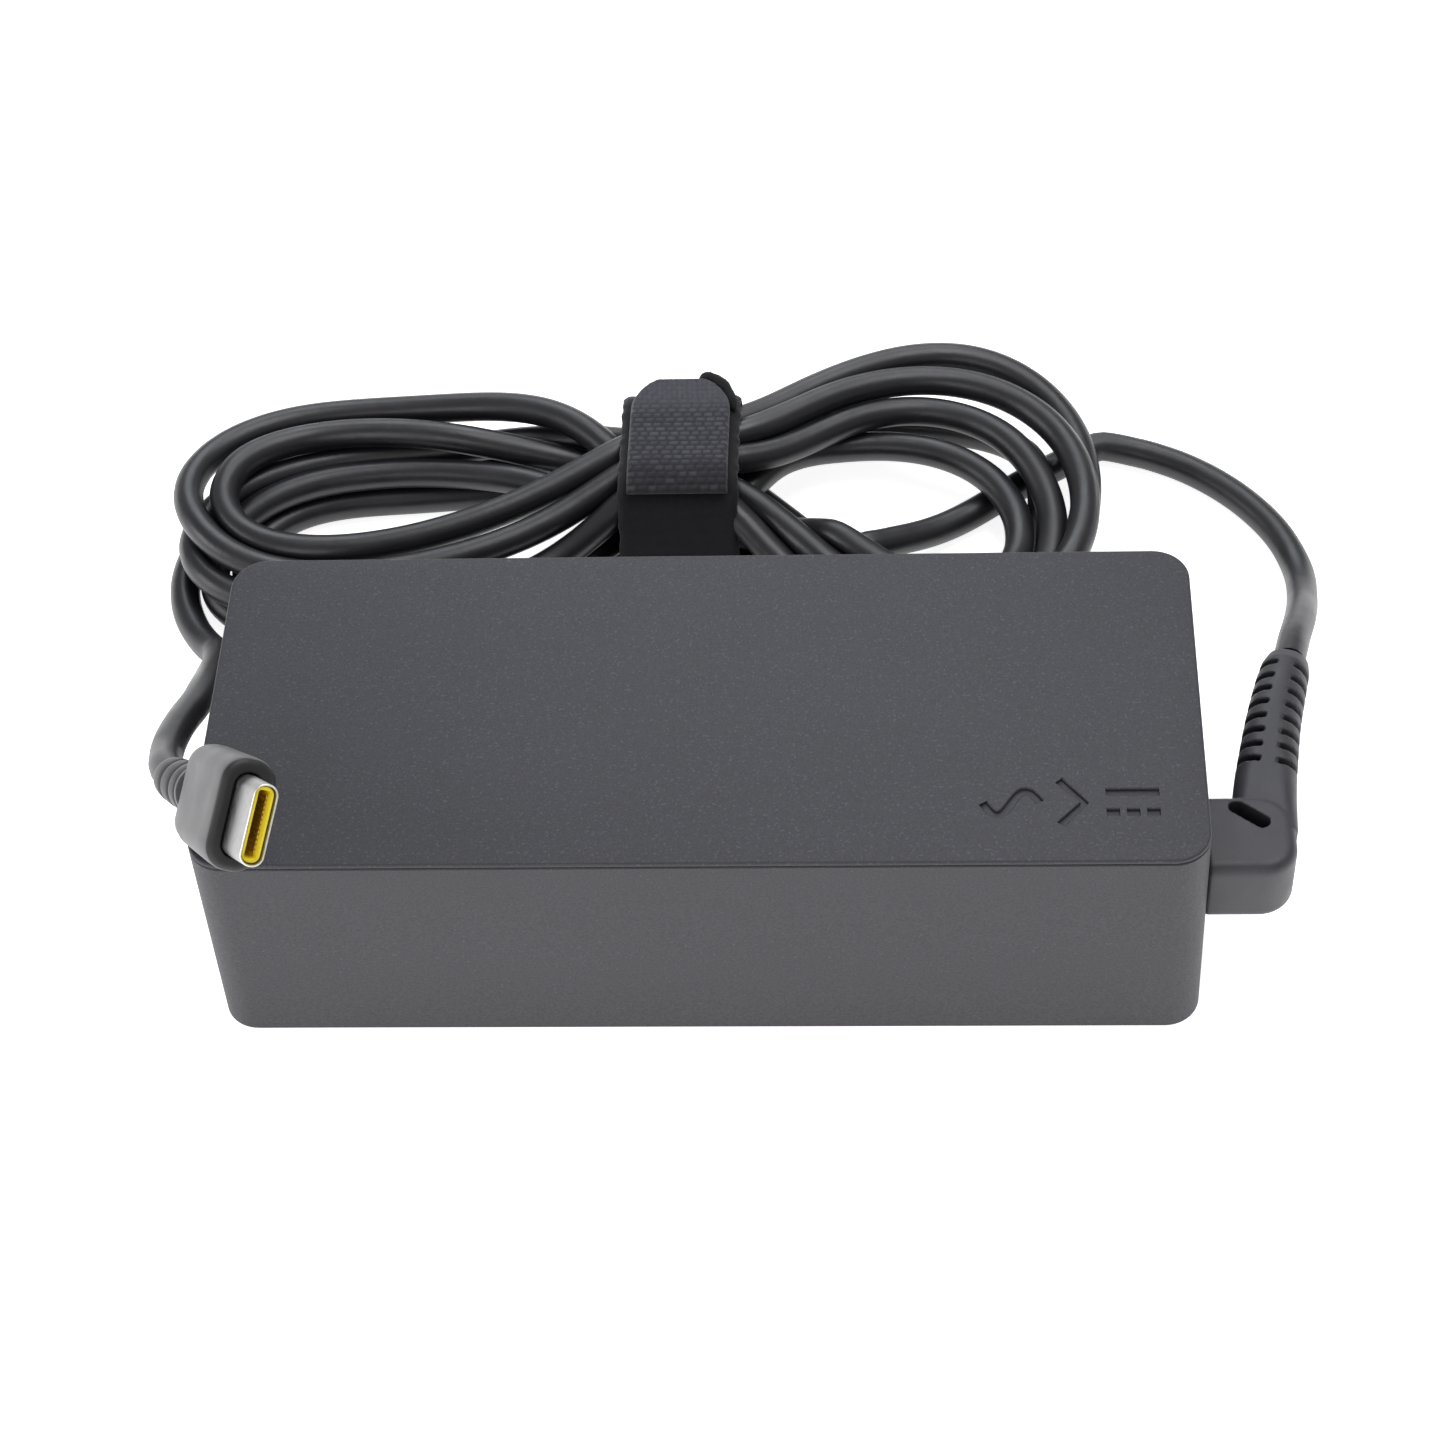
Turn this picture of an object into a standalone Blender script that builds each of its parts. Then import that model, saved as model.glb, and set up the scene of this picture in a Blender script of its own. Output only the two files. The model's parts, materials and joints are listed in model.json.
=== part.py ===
"""A laptop power adapter: a drafted two-piece housing with a mains inlet at its left end and an elbow boot
at its right end, the free cord from that boot as a strapped hank, and the USB-C plug at the cord's end.

Sizes and places are in millimetres; put() and tube() turn them into metres. The origin is the middle of the
housing's base, +X runs along the housing towards the boot, +Y away from the plug's side, +Z up."""

import math

import bpy
from mathutils import Vector
from mathutils.geometry import interpolate_bezier

MM = 0.001

# Housing
LENGTH, DEPTH, HEIGHT = 108.0, 44.6, 29.2
DRAFT = 0.5  # how far each wall leans in over the height
CORNER = 4.0
EDGE = 0.3
WALL = 2.0
COVER_SKIRT = 0.6
SEAM_GAP = 0.3
REBATE = 1.4
GAP = 0.3
CORNER_STEPS = 5

# Marking on the cover, at its right front corner
MARK_X, MARK_Y = 39.2, -14.0
MARK_HEIGHT, MARK_STROKE, MARK_DEPTH = 7.4, 0.85, 0.4

# Label recess under the base
LABEL = (72.0, 28.0)
LABEL_THICK = 0.3

# Mains inlet
INLET_Z = 14.6
INLET_BODY = (20.4, 17.0)
INLET_FACE_X, INLET_BACK_X = -53.7, -36.6
CAVITY_DEPTH = 13.0
PIN_RADIUS = 1.2
PIN_PLACES = {"line": (5.0, 2.2), "neutral": (-5.0, 2.2), "earth": (0.0, -3.3)}
LOBE_RADIUS = 3.9
HUB_RADIUS, HUB_RISE = 4.6, 0.8

# Elbow boot
BOOT_Y, BOOT_Z = -10.2, 14.8
STUB = (10.4, 8.8)
BOOT_NECK = (9.2, 7.2)
BOOT_RIBS = 8
RIB_Y, RIB_PITCH, RIB_WIDTH = 0.2, 2.17, 0.7
RIB_CORE, RIB_SPINE = 2.35, 0.85
BOOT_SLOT = ((56.9, -6.3), (60.85, -9.3))  # both ends of the slot in the elbow's top, in X and Y

# Cord, strap and hank
CORD_RADIUS = 1.85
STRAP_X, STRAP_WIDTH, STRAP_THICK = -5.3, 14.8, 1.2
STRAP_CORNERS = [(38.6, 0.05, 2.6), (65.4, 0.05, 4.0), (65.4, 14.55, 5.0), (46.8, 14.55, 5.0)]  # Y, Z, radius
TAIL_WIDTH = 12.2
HINGE_Y, HINGE_Z = 64.2, 15.8

# Plug: the rim's centre and the three directions of its body
PLUG_RIM = Vector((-41.0, -31.6, 48.5))
PLUG_AXIS = Vector((0.441, -0.667, 0.601)).normalized()
PLUG_WIDE = Vector((-0.244, -0.733, -0.635))
PLUG_WIDE = (PLUG_WIDE - PLUG_AXIS * PLUG_WIDE.dot(PLUG_AXIS)).normalized()
PLUG_THIN = PLUG_AXIS.cross(PLUG_WIDE)
SHELL = (8.34, 2.56)
SHELL_OUT = 6.65
OVERMOULD = (11.6, 5.8)
OVERMOULD_LENGTH = 16.1
RELIEF_END = Vector((-55.4, -11.6, 31.5))
RELIEF_EXIT = Vector((-0.42, 0.76, -0.50)).normalized()

# Circuit board
BOARD_X0, BOARD_X1, BOARD_HALF = -34.5, 48.0, 18.4
BOARD_Z0, BOARD_Z1 = 5.6, 7.2
ON_BOARD = BOARD_Z1 + GAP


# ---------------------------------------------------------------- helpers

def clear_scene():
    for obj in list(bpy.data.objects):
        bpy.data.objects.remove(obj, do_unlink=True)


def material(name, colour, roughness=0.5, metallic=0.0):
    made = bpy.data.materials.new(name)
    made.use_nodes = True
    shader = made.node_tree.nodes["Principled BSDF"]
    shader.inputs["Base Color"].default_value = (*colour, 1.0)
    shader.inputs["Roughness"].default_value = roughness
    shader.inputs["Metallic"].default_value = metallic
    made.diffuse_color = (*colour, 1.0)
    return made


def put(name, points, faces, mat, origin=(0.0, 0.0, 0.0)):
    """A mesh object from points in millimetres, with its origin at the place given."""
    origin = Vector(origin)
    mesh = bpy.data.meshes.new(name)
    mesh.from_pydata([(Vector(p) - origin) * MM for p in points], [], faces)
    mesh.validate()
    mesh.shade_smooth()
    mesh.set_sharp_from_angle(angle=math.radians(32))
    obj = bpy.data.objects.new(name, mesh)
    obj.location = origin * MM
    bpy.context.scene.collection.objects.link(obj)
    if mat:
        mesh.materials.append(mat)
    return obj


def loft(name, rings, mat, origin=(0.0, 0.0, 0.0)):
    """A closed solid through rings of equal count, which turn anticlockwise about the way they advance."""
    count = len(rings[0])
    points = [point for ring in rings for point in ring]
    faces = [tuple(reversed(range(count)))]
    for level in range(len(rings) - 1):
        for i in range(count):
            j = (i + 1) % count
            low = level * count
            faces.append((low + i, low + j, low + count + j, low + count + i))
    last = (len(rings) - 1) * count
    faces.append(tuple(range(last, last + count)))
    return put(name, points, faces, mat, origin)


def sleeve(name, outer, inner, x0, x1, place, mat):
    """A ring-shaped wall between two flat loops, run from x0 to x1 along the first axis of place()."""
    count = len(outer)
    loops = [(outer, x0), (outer, x1), (inner, x1), (inner, x0)]
    points = [place(x, *pair) for loop, x in loops for pair in loop]
    faces = []
    for level in range(4):
        for i in range(count):
            j = (i + 1) % count
            a, b = level * count, (level + 1) % 4 * count
            faces.append((a + i, a + j, b + j, b + i))
    return put(name, points, faces, mat)


def rounded(width, height, radius, steps=CORNER_STEPS):
    """An anticlockwise rectangle with arcs at its corners, centred on zero."""
    pairs = []
    for quarter, (sx, sy) in enumerate(((1, 1), (-1, 1), (-1, -1), (1, -1))):
        for i in range(steps + 1):
            turn = math.radians(90 * (quarter + i / steps))
            x = sx * (width / 2 - radius) + radius * math.cos(turn)
            y = sy * (height / 2 - radius) + radius * math.sin(turn)
            pairs.append((x, y))
    return pairs


def circle(radius, count=16):
    turns = [2 * math.pi * i / count for i in range(count)]
    return [(radius * math.cos(t), radius * math.sin(t)) for t in turns]


def along_z(x0, y0):
    return lambda z, x, y: (x0 + x, y0 + y, z)


def along_x(y0, z0):
    return lambda x, y, z: (x, y0 + y, z0 + z)


def along_y(x0, z0):
    return lambda y, z, x: (x0 + x, y, z0 + z)


def plug_place(back, wide, thin):
    """A point of the plug, by its distance behind the rim and its offsets across the plug."""
    return PLUG_RIM - PLUG_AXIS * back - PLUG_WIDE * wide + PLUG_THIN * thin


def stack(name, sections, place, mat):
    """A loft of flat loops, each given with its station along place()'s first axis."""
    return loft(name, [[place(at, *pair) for pair in loop] for at, loop in sections], mat)


def block(name, low, high, mat):
    corners = [(low[0], low[1]), (high[0], low[1]), (high[0], high[1]), (low[0], high[1])]
    return stack(name, [(low[2], corners), (high[2], corners)], along_z(0, 0), mat)


def turned(name, profile, place, mat, count=16):
    """A turned solid: profile is a list of (station, radius) along place()'s first axis."""
    return stack(name, [(at, circle(radius, count)) for at, radius in profile], place, mat)


def boolean(obj, other, operation):
    """Cuts or joins another mesh, which is then a helper that no render shows."""
    other.hide_render = True
    other.display_type = "WIRE"
    modifier = obj.modifiers.new(operation.title() + " " + other.name, "BOOLEAN")
    modifier.operation = operation
    modifier.object = other
    modifier.solver = "EXACT"


def smooth_route(route, spacing=9.0):
    """Points about one spacing apart along a smooth curve through a route's own points."""
    route = [Vector(point) for point in route]
    ends = [2 * route[0] - route[1]] + route + [2 * route[-1] - route[-2]]
    points = []
    for i in range(1, len(ends) - 2):
        start, end = ends[i], ends[i + 1]
        steps = max(1, round((end - start).length / spacing)) + 1
        out = start + (end - ends[i - 1]) / 6
        back = end - (ends[i + 2] - start) / 6
        points += interpolate_bezier(start, out, back, end, steps)[:-1]
    return points + [ends[-2]]


def tube(name, points, radius, mat, resolution=2):
    curve = bpy.data.curves.new(name, "CURVE")
    curve.dimensions = "3D"
    curve.bevel_depth = radius * MM
    curve.bevel_resolution = resolution
    curve.use_fill_caps = True
    spline = curve.splines.new("POLY")
    spline.points.add(len(points) - 1)
    for target, point in zip(spline.points, points):
        target.co = (*(Vector(point) * MM), 1.0)
    curve.materials.append(mat)
    obj = bpy.data.objects.new(name, curve)
    bpy.context.scene.collection.objects.link(obj)
    return obj


# ---------------------------------------------------------------- housing

def housing_loop(z, inset=0.0):
    lean = DRAFT * z / HEIGHT
    width, depth = LENGTH - 2 * (lean + inset), DEPTH - 2 * (lean + inset)
    return rounded(width, depth, max(CORNER - inset, 1.0))


def bottom_shell(mat):
    rim = HEIGHT - COVER_SKIRT - SEAM_GAP
    stations = [(0.0, EDGE), (EDGE, 0.0), (rim, 0.0), (rim, 1.0), (rim - REBATE, 1.0), (rim - REBATE, WALL),
                (WALL, WALL)]
    shell = stack("bottom_shell", [(z, housing_loop(z, inset)) for z, inset in stations], along_z(0, 0), mat)
    label_room = rounded(LABEL[0] + 2 * GAP, LABEL[1] + 2 * GAP, 2.0, 3)
    depth = LABEL_THICK + 2 * GAP
    boolean(shell, stack("label_recess", [(-1.0, label_room), (depth, label_room)], along_z(0, 0), None),
            "DIFFERENCE")
    window = rounded(INLET_BODY[0] + 2 * GAP, INLET_BODY[1] + 2 * GAP, 2.3, 3)
    boolean(shell, stack("inlet_window", [(-60.0, window), (-46.0, window)], along_x(0, INLET_Z), None),
            "DIFFERENCE")
    window = rounded(BOOT_NECK[0] + 2 * GAP, BOOT_NECK[1] + 2 * GAP, 2.6, 3)
    boolean(shell, stack("boot_window", [(46.0, window), (60.0, window)], along_x(BOOT_Y, BOOT_Z), None),
            "DIFFERENCE")
    for x in (BOARD_X0 + 2.0, BOARD_X1 - 2.0):
        for y in (-14.0, 14.0):
            post = turned("board_post", [(WALL - 1.0, 1.8), (BOARD_Z0 - GAP, 1.5)], along_z(x, y), None, 12)
            boolean(shell, post, "UNION")
    return shell


def stroke(points, width):
    """The anticlockwise outline of a flat pen stroke along points."""
    sides = ([], [])
    for i, point in enumerate(points):
        before, after = points[max(i - 1, 0)], points[min(i + 1, len(points) - 1)]
        way = Vector((after[0] - before[0], after[1] - before[1])).normalized() * width / 2
        sides[0].append((point[0] + way.y, point[1] - way.x))
        sides[1].append((point[0] - way.y, point[1] + way.x))
    return sides[0] + sides[1][::-1]


def marking_strokes():
    """A wave for alternating current, an arrow head, and a bar over three dashes for direct current."""
    half = MARK_HEIGHT / 2
    wave = [(-6.2 + 3.0 * t, 0.42 * half * math.sin(math.pi * t)) for t in [i / 6 - 1 for i in range(13)]]
    head = [(-1.2, -0.8 * half), (1.4, 0.0), (-1.2, 0.8 * half)]
    bar = [(3.6, 0.36 * half), (9.2, 0.36 * half)]
    dashes = [[(3.6 + 2.1 * i, -0.36 * half), (5.0 + 2.1 * i, -0.36 * half)] for i in range(3)]
    return [wave, head, bar] + dashes


def top_cover(mat):
    skirt = HEIGHT - COVER_SKIRT
    lip, under = skirt - REBATE, HEIGHT - WALL
    stations = [(under, 2.3), (lip, 2.3), (lip, 1.3), (skirt, 1.3), (skirt, 0.0), (HEIGHT - EDGE, 0.0),
                (HEIGHT, EDGE)]
    cover = stack("top_cover", [(z, housing_loop(z, inset)) for z, inset in stations], along_z(0, 0), mat)
    for i, points in enumerate(marking_strokes()):
        outline = stroke(points, MARK_STROKE)
        sections = [(HEIGHT - MARK_DEPTH, outline), (HEIGHT + 1.0, outline)]
        cutter = stack(f"mark_{i}", sections, along_z(MARK_X, MARK_Y), None)
        boolean(cover, cutter, "DIFFERENCE")
    return cover


def rating_label(mat):
    outline = rounded(*LABEL, 1.7, 3)
    low = GAP
    return stack("rating_label", [(low, outline), (low + LABEL_THICK, outline)], along_z(0, 0), mat)


# ---------------------------------------------------------------- mains inlet

def trefoil(count=32):
    """The inlet's three-lobed outline: at each angle, the furthest of four discs."""
    discs = [(y, z, LOBE_RADIUS) for y, z in PIN_PLACES.values()] + [(0.0, HUB_RISE, HUB_RADIUS)]
    pairs = []
    for i in range(count):
        turn = 2 * math.pi * (i + 0.5) / count
        way = Vector((math.cos(turn), math.sin(turn)))
        reach = 0.0
        for y, z, radius in discs:
            along = way.dot(Vector((y, z)))
            inside = radius ** 2 - y ** 2 - z ** 2 + along ** 2
            if inside > 0:
                reach = max(reach, along + math.sqrt(inside))
        pairs.append((way.x * reach, way.y * reach))
    return pairs


def inlet_body(mat):
    body, collar = rounded(*INLET_BODY, 2.0, 3), rounded(24.0, 20.4, 2.0, 3)
    collar_front, collar_back = -LENGTH / 2 + WALL + DRAFT + GAP, -49.6
    sections = [(INLET_FACE_X, body), (collar_front, body), (collar_front, collar), (collar_back, collar),
                (collar_back, body), (INLET_BACK_X, body)]
    inlet = stack("inlet_body", sections, along_x(0, INLET_Z), mat)
    floor = INLET_FACE_X + CAVITY_DEPTH
    cavity = stack("inlet_cavity", [(INLET_FACE_X - 2.0, trefoil()), (floor, trefoil())],
                   along_x(0, INLET_Z), None)
    boolean(inlet, cavity, "DIFFERENCE")
    for name, (y, z) in PIN_PLACES.items():
        hole = turned(f"{name}_hole", [(floor - 1.0, PIN_RADIUS + GAP), (INLET_BACK_X + 1.0, PIN_RADIUS + GAP)],
                      along_x(y, INLET_Z + z), None, 12)
        boolean(inlet, hole, "DIFFERENCE")
    return inlet


def inlet_pin(name, mat):
    y, z = PIN_PLACES[name]
    profile = [(-50.9, 0.5), (-50.3, PIN_RADIUS), (INLET_BACK_X + 1.6, PIN_RADIUS), (INLET_BACK_X + 2.4, 0.8)]
    return turned(f"inlet_pin_{name}", profile, along_x(y, INLET_Z + z), mat, 12)


# ---------------------------------------------------------------- elbow boot

def boot_line():
    """Stations of the boot from its elbow to its tip: place, width across and height."""
    return [
        (Vector((60.6, -9.0, 14.9)), 7.0, 8.4),
        (Vector((61.1, -3.0, 14.9)), 6.9, 8.1),
        (Vector((61.9, 2.0, 14.9)), 6.6, 7.5),
        (Vector((63.0, 8.0, 14.7)), 6.2, 6.8),
        (Vector((64.3, 13.6, 14.2)), 5.9, 6.2),
        (Vector((65.1, 16.6, 13.8)), 5.6, 5.8),
        (Vector((65.6, 18.2, 13.6)), 4.8, 4.8),
    ]


def swept(stations):
    """Loops square to a line of stations, each a place and a flat loop, kept level from side to side."""
    rings = []
    for i, (place, loop) in enumerate(stations):
        before, after = stations[max(i - 1, 0)][0], stations[min(i + 1, len(stations) - 1)][0]
        way = (after - before).normalized()
        side = way.cross(Vector((0, 0, 1))).normalized()
        up = side.cross(way)
        rings.append([place - side * x + up * z for x, z in loop])
    return rings


def rib_slot(i, side):
    """A slot across one flank of the boot's tail, cut in as far as the core round the cord."""
    line = smooth_route([place for place, _, _ in boot_line()], 1.0)
    y = RIB_Y + RIB_PITCH * i
    first = max(k for k, point in enumerate(line[:-1]) if point.y <= y)
    share = (y - line[first].y) / (line[first + 1].y - line[first].y)
    place = line[first].lerp(line[first + 1], share)
    way = (line[first + 1] - line[first]).normalized()
    across = way.cross(Vector((0, 0, 1))).normalized() * side
    up = across.cross(way) * side
    start = math.asin(RIB_SPINE / RIB_CORE)
    turns = [start + (math.pi - 2 * start) * k / 6 for k in range(7)]
    section = [(RIB_SPINE, 6.0)] + [(RIB_CORE * math.sin(t), RIB_CORE * math.cos(t)) for t in turns]
    section += [(RIB_SPINE, -6.0), (6.0, -6.0), (6.0, 6.0)]
    rings = [[place + way * along + across * x + up * z for x, z in section]
             for along in (-RIB_WIDTH / 2, RIB_WIDTH / 2)]
    return loft(f"rib_slot_{i}_{side}", rings if side < 0 else [ring[::-1] for ring in rings], None)


def boot_slot():
    """The oblong slot in the elbow's top, where the mould's core stood."""
    near, far = (Vector(spot) for spot in BOOT_SLOT)
    middle, way = (near + far) / 2, (far - near).normalized()
    outline = [(middle.x + way.x * x - way.y * y, middle.y + way.y * x + way.x * y)
               for x, y in rounded((far - near).length, 1.5, 0.7, 3)]
    return stack("boot_slot", [(BOOT_Z + 1.8, outline), (BOOT_Z + 6.0, outline)], along_z(0, 0), None)


def cord_boot(mat):
    flange, neck, stub = rounded(12.4, 10.4, 2.4, 3), rounded(*BOOT_NECK, 2.3, 3), rounded(*STUB, 1.4, 3)
    inner, outer = LENGTH / 2 - WALL - DRAFT - GAP, LENGTH / 2 - DRAFT / 2 + GAP
    sections = [(inner - 1.4, flange), (inner, flange), (inner, neck), (outer, neck), (outer, stub), (59.5, stub)]
    boot = stack("cord_boot", sections, along_x(BOOT_Y, BOOT_Z), mat)
    half, depth = STUB[1] / 2, STUB[0]
    elbow = [(BOOT_Z + z, rounded(9.3 - 2 * inset, depth - 2 * inset, 3.8 - inset, 5))
             for z, inset in ((-half, 1.2), (0.35 - half, 0.45), (1.2 - half, 0.0),
                              (half - 1.2, 0.0), (half - 0.35, 0.45), (half, 1.2))]
    boolean(boot, stack("elbow_block", elbow, along_z(59.15, BOOT_Y), None), "UNION")
    stations = [(place, rounded(width, height, share * height, 4)) for (place, width, height), share
                in zip(boot_line(), (0.2, 0.25, 0.32, 0.38, 0.42, 0.42, 0.42))]
    boolean(boot, loft("boot_tail", swept(stations), None), "UNION")
    for i in range(BOOT_RIBS):
        for side in (-1, 1):
            boolean(boot, rib_slot(i, side), "DIFFERENCE")
    boolean(boot, boot_slot(), "DIFFERENCE")
    return boot


# ---------------------------------------------------------------- cord, hank and strap

def brick_lead(mat):
    """The cord from the boot's tip down to the floor and round to the hank's right end."""
    route = [(65.8, 18.8, 13.5), (66.9, 23.5, 11.9), (68.6, 30.5, 8.1), (69.7, 37.0, 4.3), (69.9, 43.0, 2.3),
             (68.3, 48.8, 1.95), (65.4, 53.7, 1.95), (61.4, 58.1, 1.95), (56.5, 61.7, 1.95), (51.0, 64.2, 1.95),
             (47.2, 65.2, 1.95)]
    return tube("brick_lead", smooth_route(route), CORD_RADIUS, mat)


def plug_lead(mat):
    """The cord from the hank's near side up the housing's left end to the plug's strain relief."""
    tip = RELIEF_END + RELIEF_EXIT * GAP
    route = [(-60.7, 29.3, 4.4), (-59.6, 25.0, 7.8), (-58.8, 20.0, 11.8), (-58.2, 14.0, 16.2), (-57.9, 8.5, 19.8),
             (-58.3, 3.5, 22.6), (-58.4, -0.8, 24.8), (-58.1, -4.4, 26.6), tip + RELIEF_EXIT * 3.4, tip]
    return tube("plug_lead", smooth_route(route, 4.5), CORD_RADIUS, mat)


def cord_hank(mat):
    """The outer shape of the folded cord: two lobes and the waist that the strap holds."""
    waist = (48.2, 63.8, 1.6, 13.0)
    spans = [(-69.6, 48.0, 58.0, 1.5, 6.0), (-68.3, 40.0, 64.0, 0.5, 7.5), (-64.0, 33.0, 68.0, 0.1, 8.5),
             (-57.0, 31.0, 70.5, 0.1, 9.0), (-45.0, 33.0, 71.0, 0.1, 9.5), (-30.0, 40.0, 69.0, 0.1, 11.0),
             (STRAP_X - 8.0, *waist), (STRAP_X + 8.0, *waist), (14.0, 38.0, 73.0, 0.1, 12.0),
             (27.0, 33.0, 79.5, 0.1, 11.0), (37.0, 35.0, 77.0, 0.1, 10.0), (43.5, 42.0, 71.0, 0.3, 8.0),
             (46.6, 50.0, 67.0, 0.8, 6.0)]
    sections = []
    for x, y0, y1, z0, z1 in spans:
        width, height = y1 - y0, z1 - z0
        loop = rounded(width, height, 0.42 * height, 3)
        sections.append((x, [(y + (y0 + y1) / 2, z + (z0 + z1) / 2) for y, z in loop]))
    return stack("cord_hank", sections, along_x(0, 0), mat)


def strap_outline(inset, steps=CORNER_STEPS):
    """The strap's section in (Y, Z), anticlockwise from its near bottom corner, drawn in by an inset."""
    corners = [Vector((y, z)) for y, z, _ in STRAP_CORNERS]
    count = len(corners)
    ways = [(corners[(i + 1) % count] - corners[i]).normalized() for i in range(count)]
    outline = []
    for i in range(count):
        before, after = ways[i - 1], ways[i]
        radius = STRAP_CORNERS[i][2] - inset
        bend = math.acos(before.dot(after))
        inward = (Vector((-before.y, before.x)) + Vector((-after.y, after.x))).normalized()
        centre = corners[i] + inward * (radius + inset) / math.cos(bend / 2)
        start = math.atan2(-before.x, before.y)
        for k in range(steps + 1):
            turn = start + bend * k / steps
            outline.append((centre.x + radius * math.cos(turn), centre.y + radius * math.sin(turn)))
    return outline


def strap_band(mat):
    return sleeve("strap_band", strap_outline(0.0), strap_outline(STRAP_THICK), STRAP_X - STRAP_WIDTH / 2,
                  STRAP_X + STRAP_WIDTH / 2, along_x(0, 0), mat)


def strap_tail(mat):
    """The strap's free end, which lies over the band's top and upper front and peels up about its rear edge."""
    over = strap_outline(-GAP - STRAP_THICK / 2)
    front = over[3 * (CORNER_STEPS + 1):]
    outline = stroke([(HINGE_Y - 0.8, front[0][1])] + front[:-2], STRAP_THICK)
    rings = [[(x, y, z) for y, z in outline] for x in (STRAP_X - TAIL_WIDTH / 2, STRAP_X + TAIL_WIDTH / 2)]
    return loft("strap_tail", rings, mat, origin=(STRAP_X, HINGE_Y, HINGE_Z))


def strap_neck(mat):
    """The rolled neck of the strap, where its tail comes out of the slot behind the band."""
    profile = [(STRAP_X + 2.0, 0.6), (STRAP_X + 2.6, 1.0), (STRAP_X + 6.6, 1.0), (STRAP_X + 7.2, 0.6)]
    return turned("strap_neck", profile, along_x(HINGE_Y + 0.6, HINGE_Z - 0.6), mat, 10)


# ---------------------------------------------------------------- plug

def plug_section(size, inset, radius):
    return rounded(size[0] - 2 * inset, size[1] - 2 * inset, radius - inset, 4)


def plug_overmould(mat):
    front, rear = SHELL_OUT, SHELL_OUT + OVERMOULD_LENGTH
    shapes = [(front, 0.8, 0.0), (front + 0.6, 0.15, 0.0), (front + 3.0, 0.0, 0.0), (rear - 3.0, 0.15, 0.2),
              (rear - 0.9, 0.45, 0.3), (rear, 1.2, 0.5)]
    sections = []
    for back, inset, narrower in shapes:
        size = (OVERMOULD[0] - 2 * narrower, OVERMOULD[1])
        sections.append((back, plug_section(size, inset, 2.6)))
    body = stack("plug_overmould", sections, plug_place, mat)
    pocket = rounded(SHELL[0] + 0.3, SHELL[1] + 0.3, 1.35, 4)
    cutter = stack("plug_pocket", [(front - 2.0, pocket), (front + 8.0, pocket)], plug_place, None)
    boolean(body, cutter, "DIFFERENCE")
    return body


def plug_shell(mat):
    outer = rounded(*SHELL, 1.2, 4)
    inner = rounded(SHELL[0] - 0.5, SHELL[1] - 0.5, 0.95, 4)
    return sleeve("plug_shell", outer, inner, 0.0, SHELL_OUT + 3.5, plug_place, mat)


def plug_insert(mat):
    outline = rounded(SHELL[0] - 0.64, SHELL[1] - 0.64, 0.88, 4)
    insert = stack("plug_insert", [(0.5, outline), (SHELL_OUT + 3.2, outline)], plug_place, mat)
    slot = rounded(6.9, 1.24, 0.3, 2)
    cutter = stack("plug_slot", [(-0.5, slot), (5.6, slot)], plug_place, None)
    boolean(insert, cutter, "DIFFERENCE")
    return insert


def plug_contacts(side, mat):
    """One row of twelve spring contacts, joined at the bottom of the slot."""
    teeth, pitch = 12, 0.5
    outline = [(-teeth * pitch / 2, 5.4)]
    for i in range(teeth):
        left = (i - teeth / 2) * pitch
        outline += [(left + 0.1, 5.0), (left + 0.1, 1.4), (left + 0.4, 1.4), (left + 0.4, 5.0)]
    outline.append((teeth * pitch / 2, 5.4))
    far, near = side * 0.49 + 0.07, side * 0.49 - 0.07
    rings = [[plug_place(back, wide, thin) for wide, back in outline] for thin in (far, near)]
    return loft(f"plug_contacts_{'upper' if side > 0 else 'lower'}", rings, mat)


def plug_card(mat):
    outline = rounded(7.2, 0.8, 0.1, 1)
    low = SHELL_OUT + 3.9
    return stack("plug_card", [(low, outline), (low + 3.6, outline)], plug_place, mat)


def relief_curve():
    """The bent line of the strain relief, as the four points of a Bezier curve."""
    start = plug_place(SHELL_OUT + OVERMOULD_LENGTH + GAP, 0, 0)
    return start, start - PLUG_AXIS * 1.6, RELIEF_END - RELIEF_EXIT * 2.2, RELIEF_END


def relief_point(share):
    a, b, c, d = relief_curve()
    rest = 1 - share
    return a * rest ** 3 + b * 3 * rest ** 2 * share + c * 3 * rest * share ** 2 + d * share ** 3


def relief_way(share):
    a, b, c, d = relief_curve()
    rest = 1 - share
    return ((b - a) * rest ** 2 + (c - b) * 2 * rest * share + (d - c) * share ** 2).normalized()


def plug_strain_relief(mat):
    """A short bent sleeve with three grooves round it."""
    profile = [(0.0, 2.8), (0.1, 2.8)]
    for i in range(3):
        share, radius = 0.22 + 0.24 * i, 2.75 - 0.15 * i
        profile += [(share, radius), (share + 0.01, radius - 0.5), (share + 0.09, radius - 0.5),
                    (share + 0.10, radius - 0.05)]
    profile.append((1.0, 2.2))
    rings = []
    for share, radius in profile:
        way = relief_way(share)
        side = way.cross(PLUG_WIDE).normalized()
        up = way.cross(side)
        rings.append([relief_point(share) + side * x + up * y for x, y in circle(radius)])
    return loft("plug_strain_relief", rings, mat)


# ---------------------------------------------------------------- inside the housing

def channel(name, path, thick, x0, x1, mat):
    """A bent sheet: its path in the YZ plane, run from x0 to x1."""
    outline = stroke(path, thick)
    return stack(name, [(x0, outline), (x1, outline)], along_x(0, 0), mat)


def main_board(mat):
    return block("main_board", (BOARD_X0, -BOARD_HALF, BOARD_Z0), (BOARD_X1, BOARD_HALF, BOARD_Z1), mat)


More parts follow.
